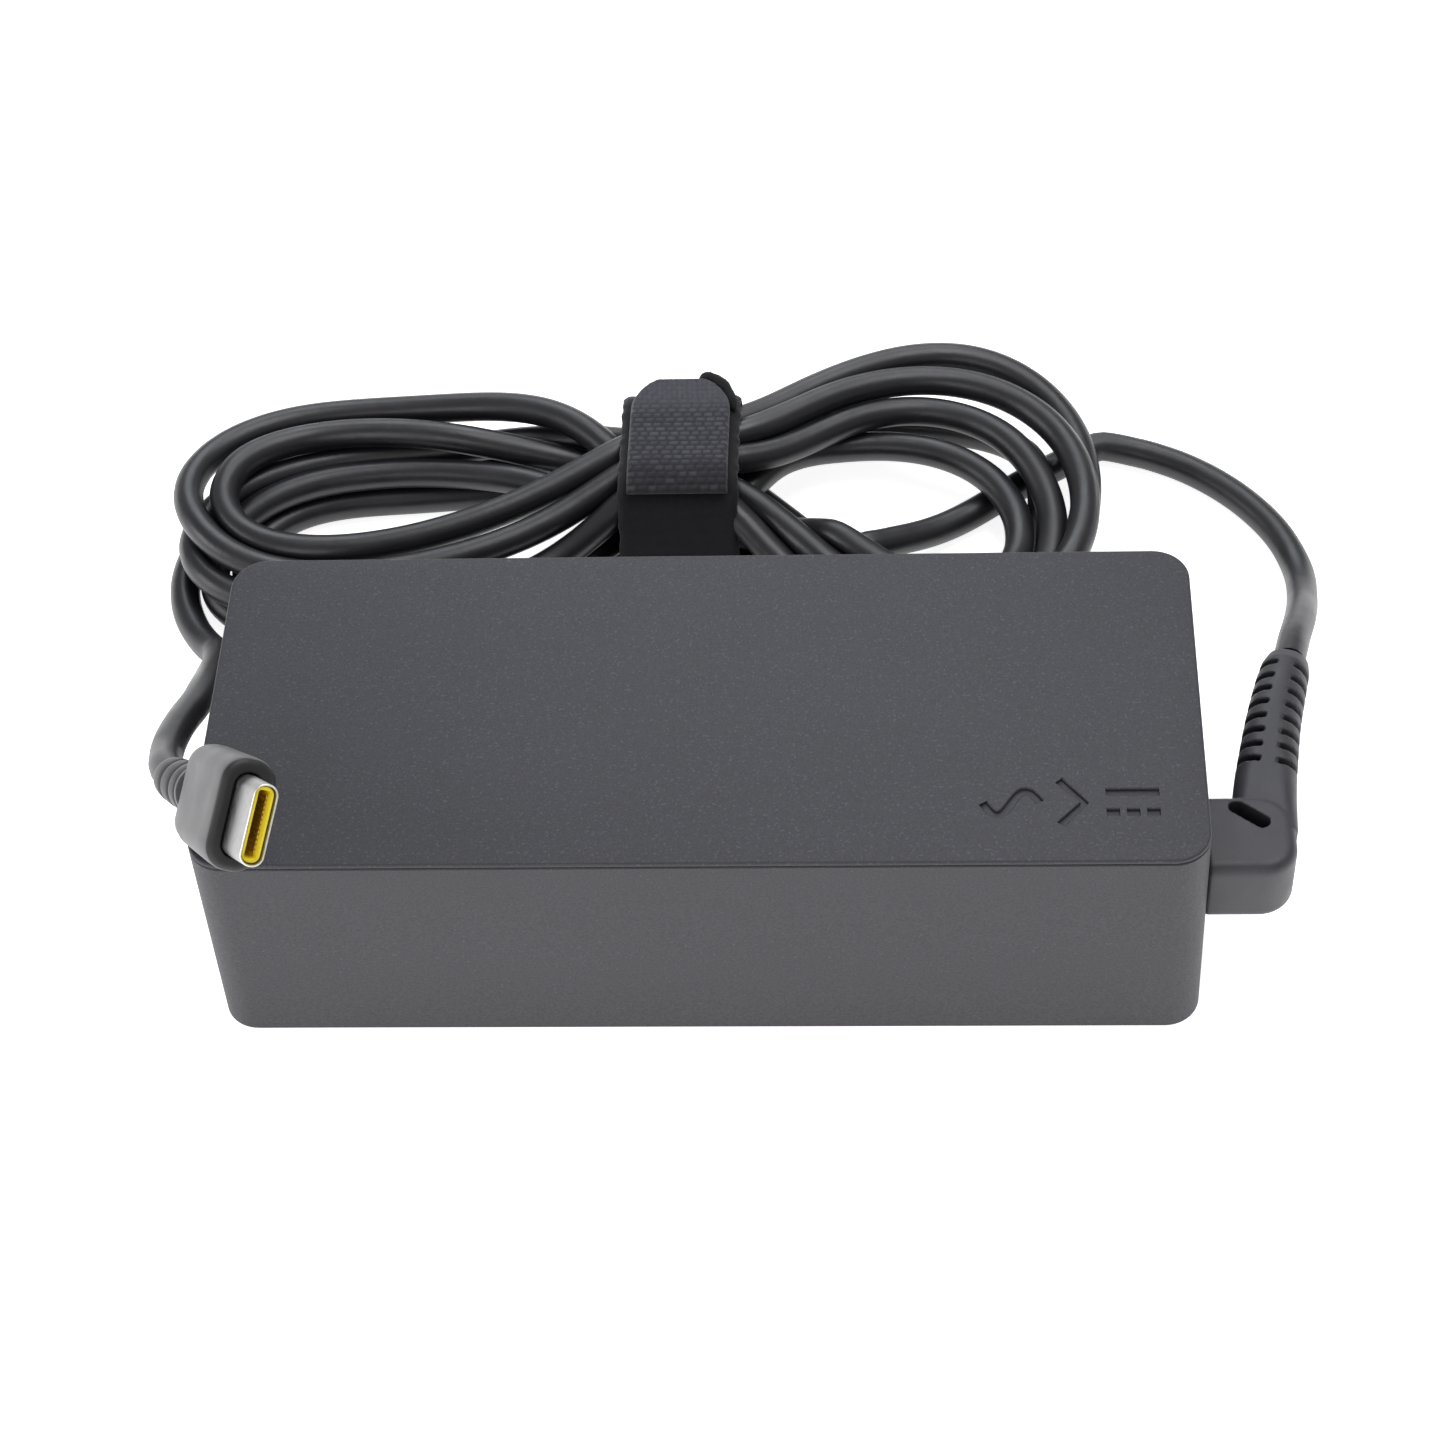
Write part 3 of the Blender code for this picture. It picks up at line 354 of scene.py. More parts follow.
def rounded(width, height, radius, steps=12):
    """An anticlockwise rectangle with arcs at its corners, centred on zero."""
    pairs = []
    for quarter, (sx, sy) in enumerate(((1, 1), (-1, 1), (-1, -1), (1, -1))):
        for i in range(steps + 1):
            turn = math.radians(90 * (quarter + i / steps))
            pairs.append((sx * (width / 2 - radius) + radius * math.cos(turn),
                          sy * (height / 2 - radius) + radius * math.sin(turn)))
    return pairs


def circle(radius, count=32):
    turns = [2 * math.pi * i / count for i in range(count)]
    return [(radius * math.cos(t), radius * math.sin(t)) for t in turns]


def round_over(at, radius, steps=5):
    """Stations of a quarter-round last edge that ends at station at."""
    turns = [math.radians(90 * i / steps) for i in range(steps + 1)]
    return [(at - radius * (1 - math.sin(turn)), radius * (1 - math.cos(turn))) for turn in turns]


def along_z(x0, y0):
    """Places X and Y loops up Z."""
    return lambda z, x, y: (x0 + x, y0 + y, z)


def along_x(y0, z0):
    """Places Y and Z loops along X."""
    return lambda x, y, z: (x, y0 + y, z0 + z)


def plug_place(back, wide, thin):
    """A point of the plug, by its distance behind the rim and its offsets across the plug."""
    return PLUG_RIM - PLUG_AXIS * back - PLUG_WIDE * wide + PLUG_THIN * thin


def ring_of(at, loop, place):
    return [place(at, *pair) for pair in loop]


def stack(name, sections, place, mat, sharp=35.0):
    """A closed solid through flat loops at stations."""
    return loft(name, [ring_of(at, loop, place) for at, loop in sections], mat, sharp)


def turned(name, profile, place, mat, count=32):
    """A round solid from (station, radius) pairs."""
    return stack(name, [(at, circle(radius, count)) for at, radius in profile], place, mat)


def cut(obj, other, operation="DIFFERENCE"):
    """Cuts or joins another solid into this one for good, and removes that solid."""
    modifier = obj.modifiers.new("cut", "BOOLEAN")
    modifier.operation, modifier.object, modifier.solver = operation, other, "EXACT"
    bake(obj)
    bpy.data.objects.remove(other)


def bake(obj, sharp=35.0):
    """Applies the object's modifiers."""
    graph = bpy.context.evaluated_depsgraph_get()
    mesh = bpy.data.meshes.new_from_object(obj.evaluated_get(graph))
    obj.modifiers.clear()
    old, obj.data = obj.data, mesh
    bpy.data.meshes.remove(old)
    mesh.name = obj.name
    mesh.shade_smooth()
    mesh.set_sharp_from_angle(angle=math.radians(sharp))


def stand_for(obj, body, *nodes):
    """The piece rides on a body and hides its nodes."""
    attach(obj, body)
    if nodes:
        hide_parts(*nodes)
    return obj


def smooth_route(route, spacing):
    """Points about one spacing apart along a smooth curve through a route's own points."""
    route = [np.array(point, float) for point in route]
    ends = [2 * route[0] - route[1]] + route + [2 * route[-1] - route[-2]]
    rows = []
    for i in range(1, len(ends) - 2):
        start, end = ends[i], ends[i + 1]
        out, back = start + (end - ends[i - 1]) / 6, end - (ends[i + 2] - start) / 6
        rows.append(bezier(start, out, back, end, max(1, round(np.linalg.norm(end - start) / spacing))))
    return np.vstack(rows + [[ends[-2]]])


def bezier(a, b, c, d, count):
    """Points of a cubic Bezier curve, without its last one."""
    t = np.linspace(0, 1, count, endpoint=False)[:, None]
    a, b, c, d = (np.array(point, float) for point in (a, b, c, d))
    return (1 - t) ** 3 * a + 3 * t * (1 - t) ** 2 * b + 3 * t * t * (1 - t) * c + t ** 3 * d


def resample(line, step):
    """Evenly spaced points, about a step apart, along a line."""
    along = np.concatenate([[0], np.cumsum(np.linalg.norm(np.diff(line, axis=0), axis=1))])
    at = np.linspace(0, along[-1], int(round(along[-1] / step)) + 1)
    return np.stack([np.interp(at, along, line[:, k]) for k in range(line.shape[1])], axis=1)


# -------------------- cord

STEP, FINE_STEP, LEAD_STEP = 2.4, 0.8, 1.2  # between the points of the hank, the finished cord and its leads
SETTLE_ROUNDS, QUICK_ROUNDS = 400, 80
PULL, SINK, STIFFNESS, PUSH, STRETCH = 0.01, 0.01, 0.06, 0.25, 0.4  # each round's share or millimetres
LEAST_GAP, ALONG_LIMIT, NEAR_LIMIT = 0.06, 3.2, 2.2  # between strands: millimetres, then diameters
ARC, AT_LOOP, AT_STRAP = 0.56, 0.42, 0.32  # how far a turn's curves reach, as shares of their spans
STRAP_LOW_X, STRAP_HIGH_X = STRAP_X - STRAP_WIDTH / 2, STRAP_X + STRAP_WIDTH / 2
STRAP_ROOM = (42.1, 0.552, 62.3, 3.15, 11.4)  # near Y at Z 0 and how it grows with Z, far Y, and two Z limits

# Every pass of the cord through the strap: its (Y, Z) at the strap's left edge and at its right edge.
PASSES = {
    "lead": ((55.6, 3.1), (44.2, 3.1)), "F_R5": ((48.6, 3.1), (61.9, 3.4)), "R5_D": ((52.6, 7.0), (47.8, 3.1)),
    "D_R4": ((44.8, 3.1), (58.4, 6.3)), "R4_C": ((61.0, 6.9), (51.5, 3.1)), "C_R3": ((47.2, 6.8), (55.0, 9.8)),
    "R3_A": ((59.6, 10.4), (46.4, 6.7)), "A_R2": ((50.6, 10.3), (58.7, 11.0)),
    "R2_B": ((56.8, 7.0), (50.2, 6.7)), "B_R1": ((55.0, 11.4), (62.2, 11.3)),
    "R1_E": ((61.6, 3.1), (53.6, 3.1)),
}
# Every loop of the hank outside the strap: its far peak, its tip and its near peak.
LOOPS = {
    "F": ((-42, 57, 1.9), (-61.0, 47, 1.9), (-44, 37.5, 1.9)),
    "R5": ((22, 69.0, 3.4), (38.5, 53.5, 2.6), (27, 38.0, 2.0)),
    "D": ((-44, 58.5, 5.4), (-64.2, 41.5, 4.5), (-43, 35.0, 3.3)),
    "R4": ((20, 62.0, 6.8), (36.3, 47.0, 5.6), (28, 36, 5.2)),
    "C": ((-43, 62, 5.5), (-65.2, 45, 6.2), (-45, 34.5, 6.6)),
    "R3": ((22, 66.4, 8.4), (40.2, 49.0, 7.2), (29, 33.5, 3.8)),
    "A": ((-48, 67.4, 8.2), (-67.0, 53.0, 9.0), (-48, 38.6, 9.2)),
    "R2": ((25, 70.2, 10.2), (44.2, 51.0, 9.2), (31, 33.0, 7.0)),
    "B": ((-46, 62.6, 9.0), (-62.8, 51.5, 9.2), (-48, 43.0, 9.4)),
    "R1": ((28, 75.6, 9.2), (44.6, 56.5, 5.6), (31, 37.5, 2.4)),
    "E": ((-46, 63, 1.9), (-67.4, 42, 1.9), None),
}
# The cord's way through the hank: a pass, the loop to its left, a pass, the loop to its right, and so on.
CHAIN = "lead F F_R5 R5 R5_D D D_R4 R4 R4_C C C_R3 R3 R3_A A A_R2 R2 R2_B B B_R1 R1 R1_E".split()
TURNS = [CHAIN[i:i + 5] for i in range(0, len(CHAIN) - 1, 4)]
BRICK_ROUTE = [(65.8, 18.8, 13.5), (66.9, 23.5, 11.9), (68.6, 30.5, 8.1), (69.7, 37.0, 4.3),
               (69.9, 43.0, 2.3), (68.3, 48.8, 1.95), (65.4, 53.7, 1.95), (61.4, 58.1, 1.95),
               (56.5, 61.7, 1.95), (51.0, 64.2, 1.95), (47.2, 65.2, 1.95)]
PLUG_ROUTE = [(-60.7, 29.3, 4.4), (-59.6, 25.0, 7.8), (-58.8, 20.0, 11.8), (-58.2, 14.0, 16.2),
              (-57.9, 8.5, 19.8), (-58.3, 3.5, 22.6), (-58.4, -0.8, 24.8), (-58.1, -4.4, 26.6)]


def slot(name, edge):
    """Where a pass crosses the strap's left (0) or right (1) edge."""
    return np.array(((STRAP_LOW_X, STRAP_HIGH_X)[edge], *PASSES[name][edge]))


def heading(name):
    """The way a pass runs, left to right."""
    way = slot(name, 1) - slot(name, 0)
    return way / np.linalg.norm(way)


def half_loop(into, out, loop, side):
    """The cord from one pass, round a loop on one side of the strap, to the start of the next pass."""
    edge = int(side > 0)
    start, end = slot(into, edge), slot(out, edge)
    far, tip, near = (np.array(point, float) for point in LOOPS[loop])
    outward = np.array((side, 0, 0.0))
    go, back = abs(far[0] - start[0]), abs(near[0] - end[0])
    over, under = outward * ARC * abs(tip[0] - far[0]), outward * ARC * abs(tip[0] - near[0])
    return np.vstack([
        bezier(start, start + heading(into) * side * go * AT_STRAP, far - outward * go * AT_LOOP, far, 20),
        bezier(far, far + over, tip + (0, ARC * (far[1] - tip[1]), 0), tip, 16),
        bezier(tip, tip - (0, ARC * (tip[1] - near[1]), 0), near + under, near, 16),
        bezier(near, near - outward * back * AT_LOOP, end + heading(out) * side * back * AT_STRAP, end, 20),
    ])


def first_hank(plug_lead):
    """The hank's drawn line, from the boot's lead to the plug's, before it settles."""
    start = slot("lead", 1)
    rows = [bezier(BRICK_ROUTE[-1], (36, 60.5, 1.9), start + heading("lead") * 16, start, 26)]
    for into, left, across, right, out in TURNS:
        rows += [half_loop(into, across, left, -1), half_loop(across, out, right, 1)]
    far, tip = (np.array(point, float) for point in LOOPS["E"][:2])
    start, join = slot("R1_E", 0), np.array(plug_lead[0])
    rows.append([slot("R1_E", 1)])
    rows.append(bezier(start, start - heading("R1_E") * 11, far + (13, 0, 0), far, 20))
    rows.append(bezier(far, far + (-12, 0, 0), tip + (0, 11, 0), tip, 16))
    rows.append(bezier(tip, tip + (0, -7, 0), join - (np.array(plug_lead[1]) - join) * 0.9, join, 12))
    return np.vstack(rows)


def settle(line, rounds):
    """Lets the hank's strands push each other apart, smooth out and sink, inside the strap and on the floor."""
    line, drawn, count, apart = line.copy(), line.copy(), len(line), 2 * CORD_RADIUS + LEAST_GAP
    free = np.ones((count, 1))
    free[:2] = free[-2:] = 0
    one, other = np.triu_indices(count, int(round(ALONG_LIMIT * apart / STEP)))
    half = STRAP_WIDTH / 2 - 0.3
    behind = DEPTH / 2 + CORD_RADIUS + 0.5
    for turn in range(rounds):
        line += free * PULL * (drawn - line)
        line[:, 2] -= free[:, 0] * SINK
        for _ in range(4):
            bend, stiff = np.zeros_like(line), np.zeros_like(line)
            bend[1:-1] = line[2:] - 2 * line[1:-1] + line[:-2]
            stiff[1:-1] = bend[2:] - 2 * bend[1:-1] + bend[:-2]
            line -= free * STIFFNESS * stiff
        if turn % 10 == 0:
            near = np.where(((line[one] - line[other]) ** 2).sum(1) < (NEAR_LIMIT * apart) ** 2)[0]
            left, right = one[near], other[near]
        for _ in range(2):
            gap = line[left] - line[right]
            distance = np.sqrt((gap ** 2).sum(1)) + 1e-9
            push = gap / distance[:, None] * (PUSH * np.maximum(apart - distance, 0))[:, None]
            shift = np.zeros_like(line)
            np.add.at(shift, left, push)
            np.add.at(shift, right, -push)
            line += free * np.clip(shift, -0.5, 0.5)
            held = np.abs(line[:, 0] - STRAP_X) < half
            line[held, 2] = np.clip(line[held, 2], *STRAP_ROOM[3:])
            front = STRAP_ROOM[0] + STRAP_ROOM[1] * line[held, 2]
            line[held, 1] = np.clip(line[held, 1], front, STRAP_ROOM[2])
            line[:, 2] = np.maximum(line[:, 2], CORD_RADIUS + 0.05)
            beside = np.abs(line[:, 0]) < LENGTH / 2 + 2
            by_housing = beside & (line[:, 1] < behind) & (free[:, 0] > 0)
            line[by_housing, 1] = behind
            spans = line[1:] - line[:-1]
            fix = spans * (1 - STEP / np.linalg.norm(spans, axis=1)[:, None]) * STRETCH
            line[:-1] += free[:-1] * fix
            line[1:] -= free[1:] * fix
    return line


def make_cord(mat):
    """The cord and its length in millimetres."""
    tip = RELIEF_END + RELIEF_EXIT * GAP
    plug_lead = smooth_route(PLUG_ROUTE + [tuple(tip + RELIEF_EXIT * 3.4), tuple(tip)], LEAD_STEP)
    brick_lead = smooth_route(BRICK_ROUTE, LEAD_STEP)
    drawn = resample(first_hank(plug_lead[[0, 4]]), STEP)
    hank = settle(drawn, SETTLE_ROUNDS)
    whole = np.vstack([brick_lead[:-3:2], hank, plug_lead[3::2], plug_lead[-1:]])
    line = resample(smooth_route(whole, FINE_STEP), FINE_STEP)
    curve = bpy.data.curves.new("cord", "CURVE")
    curve.dimensions, curve.bevel_depth, curve.bevel_resolution = "3D", CORD_RADIUS * MM, 6
    curve.use_fill_caps = True
    spline = curve.splines.new("POLY")
    spline.points.add(len(line) - 1)
    for target, point in zip(spline.points, line):
        target.co = (*(c * MM for c in point), 1.0)
    curve.materials.append(mat)
    cord = bpy.data.objects.new("cord", curve)
    bpy.context.scene.collection.objects.link(cord)
    length = float(np.linalg.norm(np.diff(line, axis=0), axis=1).sum())
    return stand_for(cord, "adapter", "brick_lead", "cord_hank", "plug_lead"), length


# -------------------- strap

ROW_PITCH, DASH_PITCH, DASH_HALF, DASH_HEIGHT = 0.80, 1.25, 0.34, 0.13
PLAIN_END, WEAVE_OVER, SHADE_FROM, SHADE_OVER = 3.6, 3.0, 13.2, 2.5  # along the tail from its fold; the last two set where painted shade darkens the tape as it turns down over its front bend
RIB_WAVE, RIB_HEIGHT = 0.62, 0.03
ARCH_LENGTH, ARCH_SHARE = 5.4, 0.22  # how long the tail's rounded end is, and how wide it starts
SOFT_EDGE = 4  # rows and columns over which a tape thins at its edges
ROLL_SPINE = [(-3.2, 64.8, 14.8), (-2.1, 64.7, 15.25), (-0.9, 64.0, 15.35), (0.2, 62.7, 15.25),
              (1.0, 61.0, 15.1), (1.4, 59.3, 14.95)]


def strap_outline(inset, steps=14):
    """The strap's section in (Y, Z), anticlockwise from its near bottom corner, drawn in by an inset."""
    corners = [Vector((y, z)) for y, z, _ in STRAP_CORNERS]
    count = len(corners)
    ways = [(corners[(i + 1) % count] - corners[i]).normalized() for i in range(count)]
    outline = []
    for i in range(count):
        before, after = ways[i - 1], ways[i]
        radius = STRAP_CORNERS[i][2] - inset
        bend = math.acos(before.dot(after))
        inward = (Vector((-before.y, before.x)) + Vector((-after.y, after.x))).normalized()
        centre = corners[i] + inward * (radius + inset) / math.cos(bend / 2)
        start = math.atan2(-before.x, before.y)
        for k in range(steps + 1):
            turn = start + bend * k / steps
            outline.append((centre.x + radius * math.cos(turn), centre.y + radius * math.sin(turn)))
    return outline


def tape(name, path, half_width, thick, weave, mat, columns, closed=False):
    """A woven tape along a path of (Y, Z) points, its outer side to the path's right.

    half_width(along) is half its width, and weave(along, x) its raised height and how pale it is."""
    path = np.array(path, float)
    rows = len(path)
    along = np.concatenate([[0], np.cumsum(np.linalg.norm(np.diff(path, axis=0), axis=1))])
    points, shares = [], []
    for side in (1, -1):
        for i in range(rows):
            before, after = (i - 1, (i + 1) % rows) if closed else (max(i - 1, 0), min(i + 1, rows - 1))
            way = path[after] - path[before]
            out = np.array((way[1], -way[0])) / np.linalg.norm(way) * side
            end = 1.0 if closed else min(i, rows - 1 - i, SOFT_EDGE) / SOFT_EDGE
            for j in range(columns):
                x = STRAP_X + half_width(along[i]) * (2 * j / (columns - 1) - 1)
                hem_share = min(j, columns - 1 - j, SOFT_EDGE) / SOFT_EDGE
                soft = math.sin(math.pi / 2 * end) * math.sin(math.pi / 2 * hem_share)
                height, share = weave(along[i], x) if side > 0 else (0.0, 0.1)
                y, z = path[i] + out * (thick / 2 * (0.3 + 0.7 * soft) + height * soft)
                points.append((x, y, z))
                shares.append(share)
    faces, size = [], rows * columns
    for level in (0, size):
        for i in range(rows if closed else rows - 1):
            for j in range(columns - 1):
                a, b = level + i * columns + j, level + (i + 1) % rows * columns + j
                faces.append((a, a + 1, b + 1, b))
    for i in range(rows if closed else rows - 1):
        for j in (0, columns - 1):
            a, b = i * columns + j, (i + 1) % rows * columns + j
            faces.append((a, b, b + size, a + size))
    if not closed:
        for a in list(range(columns - 1)) + list(range(size - columns, size - 1)):
            faces.append((a, a + 1, a + 1 + size, a + size))
    made = place_mesh(name, points, faces, mat, 70)
    layer = made.data.attributes.new("pale", "FLOAT", "POINT")
    layer.data.foreach_set("value", shares)
    return made


def dashes(along, x):
    """Rows of short raised yarns across the tape, uneven and set off from each other, below a plainer end. Each
    yarn is paler on its crest, partly its own random tone and partly painted shade off the crest, and past its
    front bend the tape is painted darker as shade.
    """
    row = int(along / ROW_PITCH)
    v = (along / ROW_PITCH - row - 0.5) * ROW_PITCH
    offset = x / DASH_PITCH + 0.5 * (row % 2) + 0.16 * math.sin(2.3 * row) + 0.05 * math.sin(1.9 * x + row)
    cell = math.floor(offset)
    wild = math.sin(12.99 * row + 78.23 * cell) * 43758.5 % 1.0  # this yarn's own number, 0 to 1
    u = (offset - cell - 0.5) * DASH_PITCH
    across = max(0.0, 1 - abs(u / (0.44 + 0.12 * wild)) ** 3)
    crest = math.sqrt(across * max(0.0, 1 - (v / DASH_HALF) ** 2))
    woven = min(1.0, max(0.0, (along - PLAIN_END) / WEAVE_OVER))
    # painted shade: past the front bend the tape and its yarns are darker
    bend_shade = min(1.0, max(0.0, (along - SHADE_FROM) / SHADE_OVER))
    rib = 0.5 + 0.5 * math.sin(2 * math.pi * x / RIB_WAVE + 0.8 * math.sin(1.3 * along))
    plain = 0.72 + 0.14 * rib + 0.10 * crest
    # painted shade: yarns darken away from their crests; wild gives each yarn its own tone
    yarns = 0.30 + (0.26 + 0.40 * wild) * crest
    shaded_yarns = 0.20 + 0.55 * wild ** 3 * crest ** 2
    share = plain * (1 - woven) + (yarns * (1 - bend_shade) + shaded_yarns * bend_shade) * woven
    return DASH_HEIGHT * crest * (0.2 + 0.8 * woven) + RIB_HEIGHT * rib * (1 - woven), share


def twill(along, x):
    """A fine plain weave, painted darker in its hollows as shade."""
    height = math.sin(2 * math.pi * along / 0.6) * math.sin(2 * math.pi * x / 0.7)
    # painted shade: darker where the weave dips
    return 0.04 * height, 0.12 + 0.06 * height


def hem(along):
    """Half the band's width, which the stitching draws in a little unevenly."""
    wander = math.sin(2.3 * along + math.sin(1.1 * along)) * math.sin(0.7 * along + 1.0)
    return STRAP_WIDTH / 2 - 0.11 * (1 + wander)


def closed_path(points, step):
    """Evenly spaced points round a closed outline."""
    return resample(np.array(points + points[:1]), step)[:-1]


def tail_half_width(along):
    """Half the tail's width: an arch at its fold, then its full width."""
    far = min(1.0, along / ARCH_LENGTH)
    arch = ARCH_SHARE + (1 - ARCH_SHARE) * math.sqrt(max(0.0, 1 - (1 - far) ** 2))
    return TAIL_WIDTH / 2 * arch


def make_roll(mat):
    """The lumpy turned-over hem at the strap's far corner."""
    rng = np.random.default_rng(7)
    spine = smooth_route(ROLL_SPINE, 0.2)
    last = len(spine) - 1
    rings = []
    for i, place in enumerate(spine):
        way = Vector(spine[min(i + 1, last)] - spine[max(i - 1, 0)]).normalized()
        side, up = sideways(way)
        share = i / last
        taper = (1.0 - 0.4 * share) * math.sqrt(max(0.02, 1 - (2 * share - 1) ** 4))
        loop = circle(taper * (0.93 + 0.07 * math.sin(17 * share)), 28)
        rings.append([Vector(place) + (side * x + up * z) * (1 + 0.09 * rng.random()) for x, z in loop])
    return loft("strap_roll", rings, mat, 70)


def make_strap(band_mat, tail_mat):
    loop = closed_path(strap_outline(STRAP_THICK / 2), 0.25)
    band = tape("strap_loop", loop, hem, STRAP_THICK, twill, band_mat, 75, True)
    stand_for(band, "adapter", "strap_band")

    steps = 20
    front = strap_outline(-GAP - STRAP_THICK / 2, steps)[3 * (steps + 1):]
    path = resample(np.array([(HINGE_Y, front[0][1])] + front[:-7]), 0.11)
    flap = tape("strap_flap", path, tail_half_width, STRAP_THICK, dashes, tail_mat, 118)
    stand_for(flap, "tail", "strap_tail")
    stand_for(make_roll(band_mat), "adapter", "strap_neck")


# -------------------- housing

def housing_loop(z, inset=0.0):
    """The drafted housing's outline at a height, drawn in by an inset."""
    lean = DRAFT * z / HEIGHT
    return rounded(LENGTH - 2 * (lean + inset), DEPTH - 2 * (lean + inset), max(CORNER - inset, 1.0), 14)


def stroke(points, width):
    """The outline of a flat pen stroke along points."""
    sides = ([], [])
    for i, point in enumerate(points):
        before, after = points[max(i - 1, 0)], points[min(i + 1, len(points) - 1)]
        way = Vector((after[0] - before[0], after[1] - before[1])).normalized() * width / 2
        sides[0].append((point[0] + way.y, point[1] - way.x))
        sides[1].append((point[0] - way.y, point[1] + way.x))
    return sides[0] + sides[1][::-1]


def drafted(name, stations, mat):
    """A closed solid with the housing's outline, from pairs of a height and an inset."""
    return stack(name, [(z, housing_loop(z, inset)) for z, inset in stations], along_z(0, 0), mat)


def marking_strokes():
    """A wave for alternating current, an arrow head, and a bar over three dashes for direct current."""
    half = MARK_HEIGHT / 2
    wave = [(-6.2 + 3.0 * t, 0.42 * half * math.sin(math.pi * t)) for t in [i / 12 - 1 for i in range(25)]]
    head = [(-1.2, -0.8 * half), (1.4, 0.0), (-1.2, 0.8 * half)]
    bar = [(3.6, 0.36 * half), (9.2, 0.36 * half)]
    short = [[(3.6 + 2.1 * i, -0.36 * half), (5.0 + 2.1 * i, -0.36 * half)] for i in range(3)]
    return [wave, head, bar] + short


def make_housing(mats):
    skirt, chamfer = HEIGHT - COVER_SKIRT, SEAM_CHAMFER
    stations = [(HEIGHT - WALL, TONGUE_IN), (skirt - REBATE, TONGUE_IN), (skirt - REBATE, TONGUE_OUT),
                (skirt, TONGUE_OUT), (skirt, chamfer), (skirt + chamfer, 0.0)] + round_over(HEIGHT, EDGE)
    cover = drafted("cover", stations, mats["top"])
    for i, points in enumerate(marking_strokes()):
        outline, wide = stroke(points, MARK_STROKE), stroke(points, MARK_STROKE + 2 * MARK_FLARE)
        sections = [(HEIGHT - MARK_DEPTH, outline), (HEIGHT - MARK_FLARE, outline), (HEIGHT, wide),
                    (HEIGHT + 1.0, wide)]
        cut(cover, stack(f"mark_{i}", sections, along_z(MARK_X, MARK_Y), None))
    stand_for(cover, "adapter", "top_cover")

    rim = skirt - SEAM_GAP
    stations = [(0.0, EDGE), (0.13, 0.13), (EDGE, 0.0), (rim - chamfer, 0.0), (rim, chamfer), (rim, SEAM_LEDGE),
                (rim - REBATE, SEAM_LEDGE), (rim - REBATE, WALL), (WALL, WALL)]
    shell = drafted("base_shell", stations, mats["side"])
    inside, outside = WINDOW_CUT
    recess = rounded(LABEL[0] + 2 * GAP, LABEL[1] + 2 * GAP, 2.0)
    cut(shell, stack("recess", [(-1.0, recess), (LABEL_THICK + 2 * GAP, recess)], along_z(0, 0), None))
    window = rounded(INLET_BODY[0] + 2 * GAP, INLET_BODY[1] + 2 * GAP, 2.3)
    cut(shell, stack("window", [(-outside, window), (-inside, window)], along_x(0, INLET_Z), None))
    window = rounded(BOOT_NECK[0] + 2 * GAP, BOOT_NECK[1] + 2 * GAP, 2.6)
    cut(shell, stack("boot_window", [(inside, window), (outside, window)], along_x(BOOT_Y, BOOT_Z), None))
    stand_for(shell, "adapter", "bottom_shell")

    outline = rounded(*LABEL, 1.7)
    inner = rounded(LABEL[0] - 0.3, LABEL[1] - 0.3, 1.55)
    label = stack("base_label", [(GAP, inner), (GAP + 0.08, outline), (GAP + LABEL_THICK, outline)],
                  along_z(0, 0), mats["label"])
    stand_for(label, "adapter", "rating_label")


# -------------------- mains inlet

def trefoil(grow=0.0, count=120):
    """The inlet's three-lobed outline: at each angle, the furthest of four discs."""
    discs = [(y, z, LOBE_RADIUS + grow) for y, z in PIN_PLACES.values()] + [(0.0, HUB_RISE, HUB_RADIUS + grow)]
    pairs = []
    for i in range(count):
        turn = 2 * math.pi * (i + 0.5) / count
        way = Vector((math.cos(turn), math.sin(turn)))
        reach = 0.0
        for y, z, radius in discs:
            along = way.dot(Vector((y, z)))
            inside = radius ** 2 - y ** 2 - z ** 2 + along ** 2
            if inside > 0:
                reach = max(reach, along + math.sqrt(inside))
        pairs.append((way.x * reach, way.y * reach))
    return pairs


def make_inlet(mats):
    """The inlet's body, with a three-lobed cavity, and its three pins."""
    body, collar = rounded(*INLET_BODY, 2.0), rounded(24.0, 20.4, 2.0)
    soft = rounded(INLET_BODY[0] - 0.5, INLET_BODY[1] - 0.5, 1.75)
    collar_front, collar_back = -LENGTH / 2 + WALL + DRAFT + GAP, -49.6
    softer = rounded(INLET_BODY[0] - 0.15, INLET_BODY[1] - 0.15, 1.9)
    sections = [(INLET_FACE_X, soft), (INLET_FACE_X + 0.07, softer), (INLET_FACE_X + 0.25, body),
                (collar_front, body), (collar_front, collar), (collar_back, collar),
                (collar_back, body), (INLET_BACK_X, body)]
    inlet = stack("inlet", sections, along_x(0, INLET_Z), mats["inlet"])
    floor = INLET_FACE_X + CAVITY_DEPTH
    mouth, inner = trefoil(0.3), trefoil()
    sections = [(INLET_FACE_X - 2.0, mouth), (INLET_FACE_X, mouth), (INLET_FACE_X + 0.3, inner), (floor, inner)]
    cut(inlet, stack("cavity", sections, along_x(0, INLET_Z), None))
    for name, (y, z) in PIN_PLACES.items():
        hole = turned(f"{name}_hole", [(floor - 1.0, PIN_RADIUS + GAP), (INLET_BACK_X + 1.0, PIN_RADIUS + GAP)],
                      along_x(y, INLET_Z + z), None, 24)
        cut(inlet, hole)
        profile = [(-50.9, 0.35), (-50.8, 0.6), (-50.6, 0.85), (-50.3, 1.05), (-49.9, PIN_RADIUS),
                   (INLET_BACK_X + 1.6, PIN_RADIUS), (INLET_BACK_X + 2.4, 0.8)]
        pin = turned(f"pin_{name}", profile, along_x(y, INLET_Z + z), mats["brass"], 32)
        stand_for(pin, "adapter", f"inlet_pin_{name}")
    stand_for(inlet, "adapter", "inlet_body")


# -------------------- elbow boot

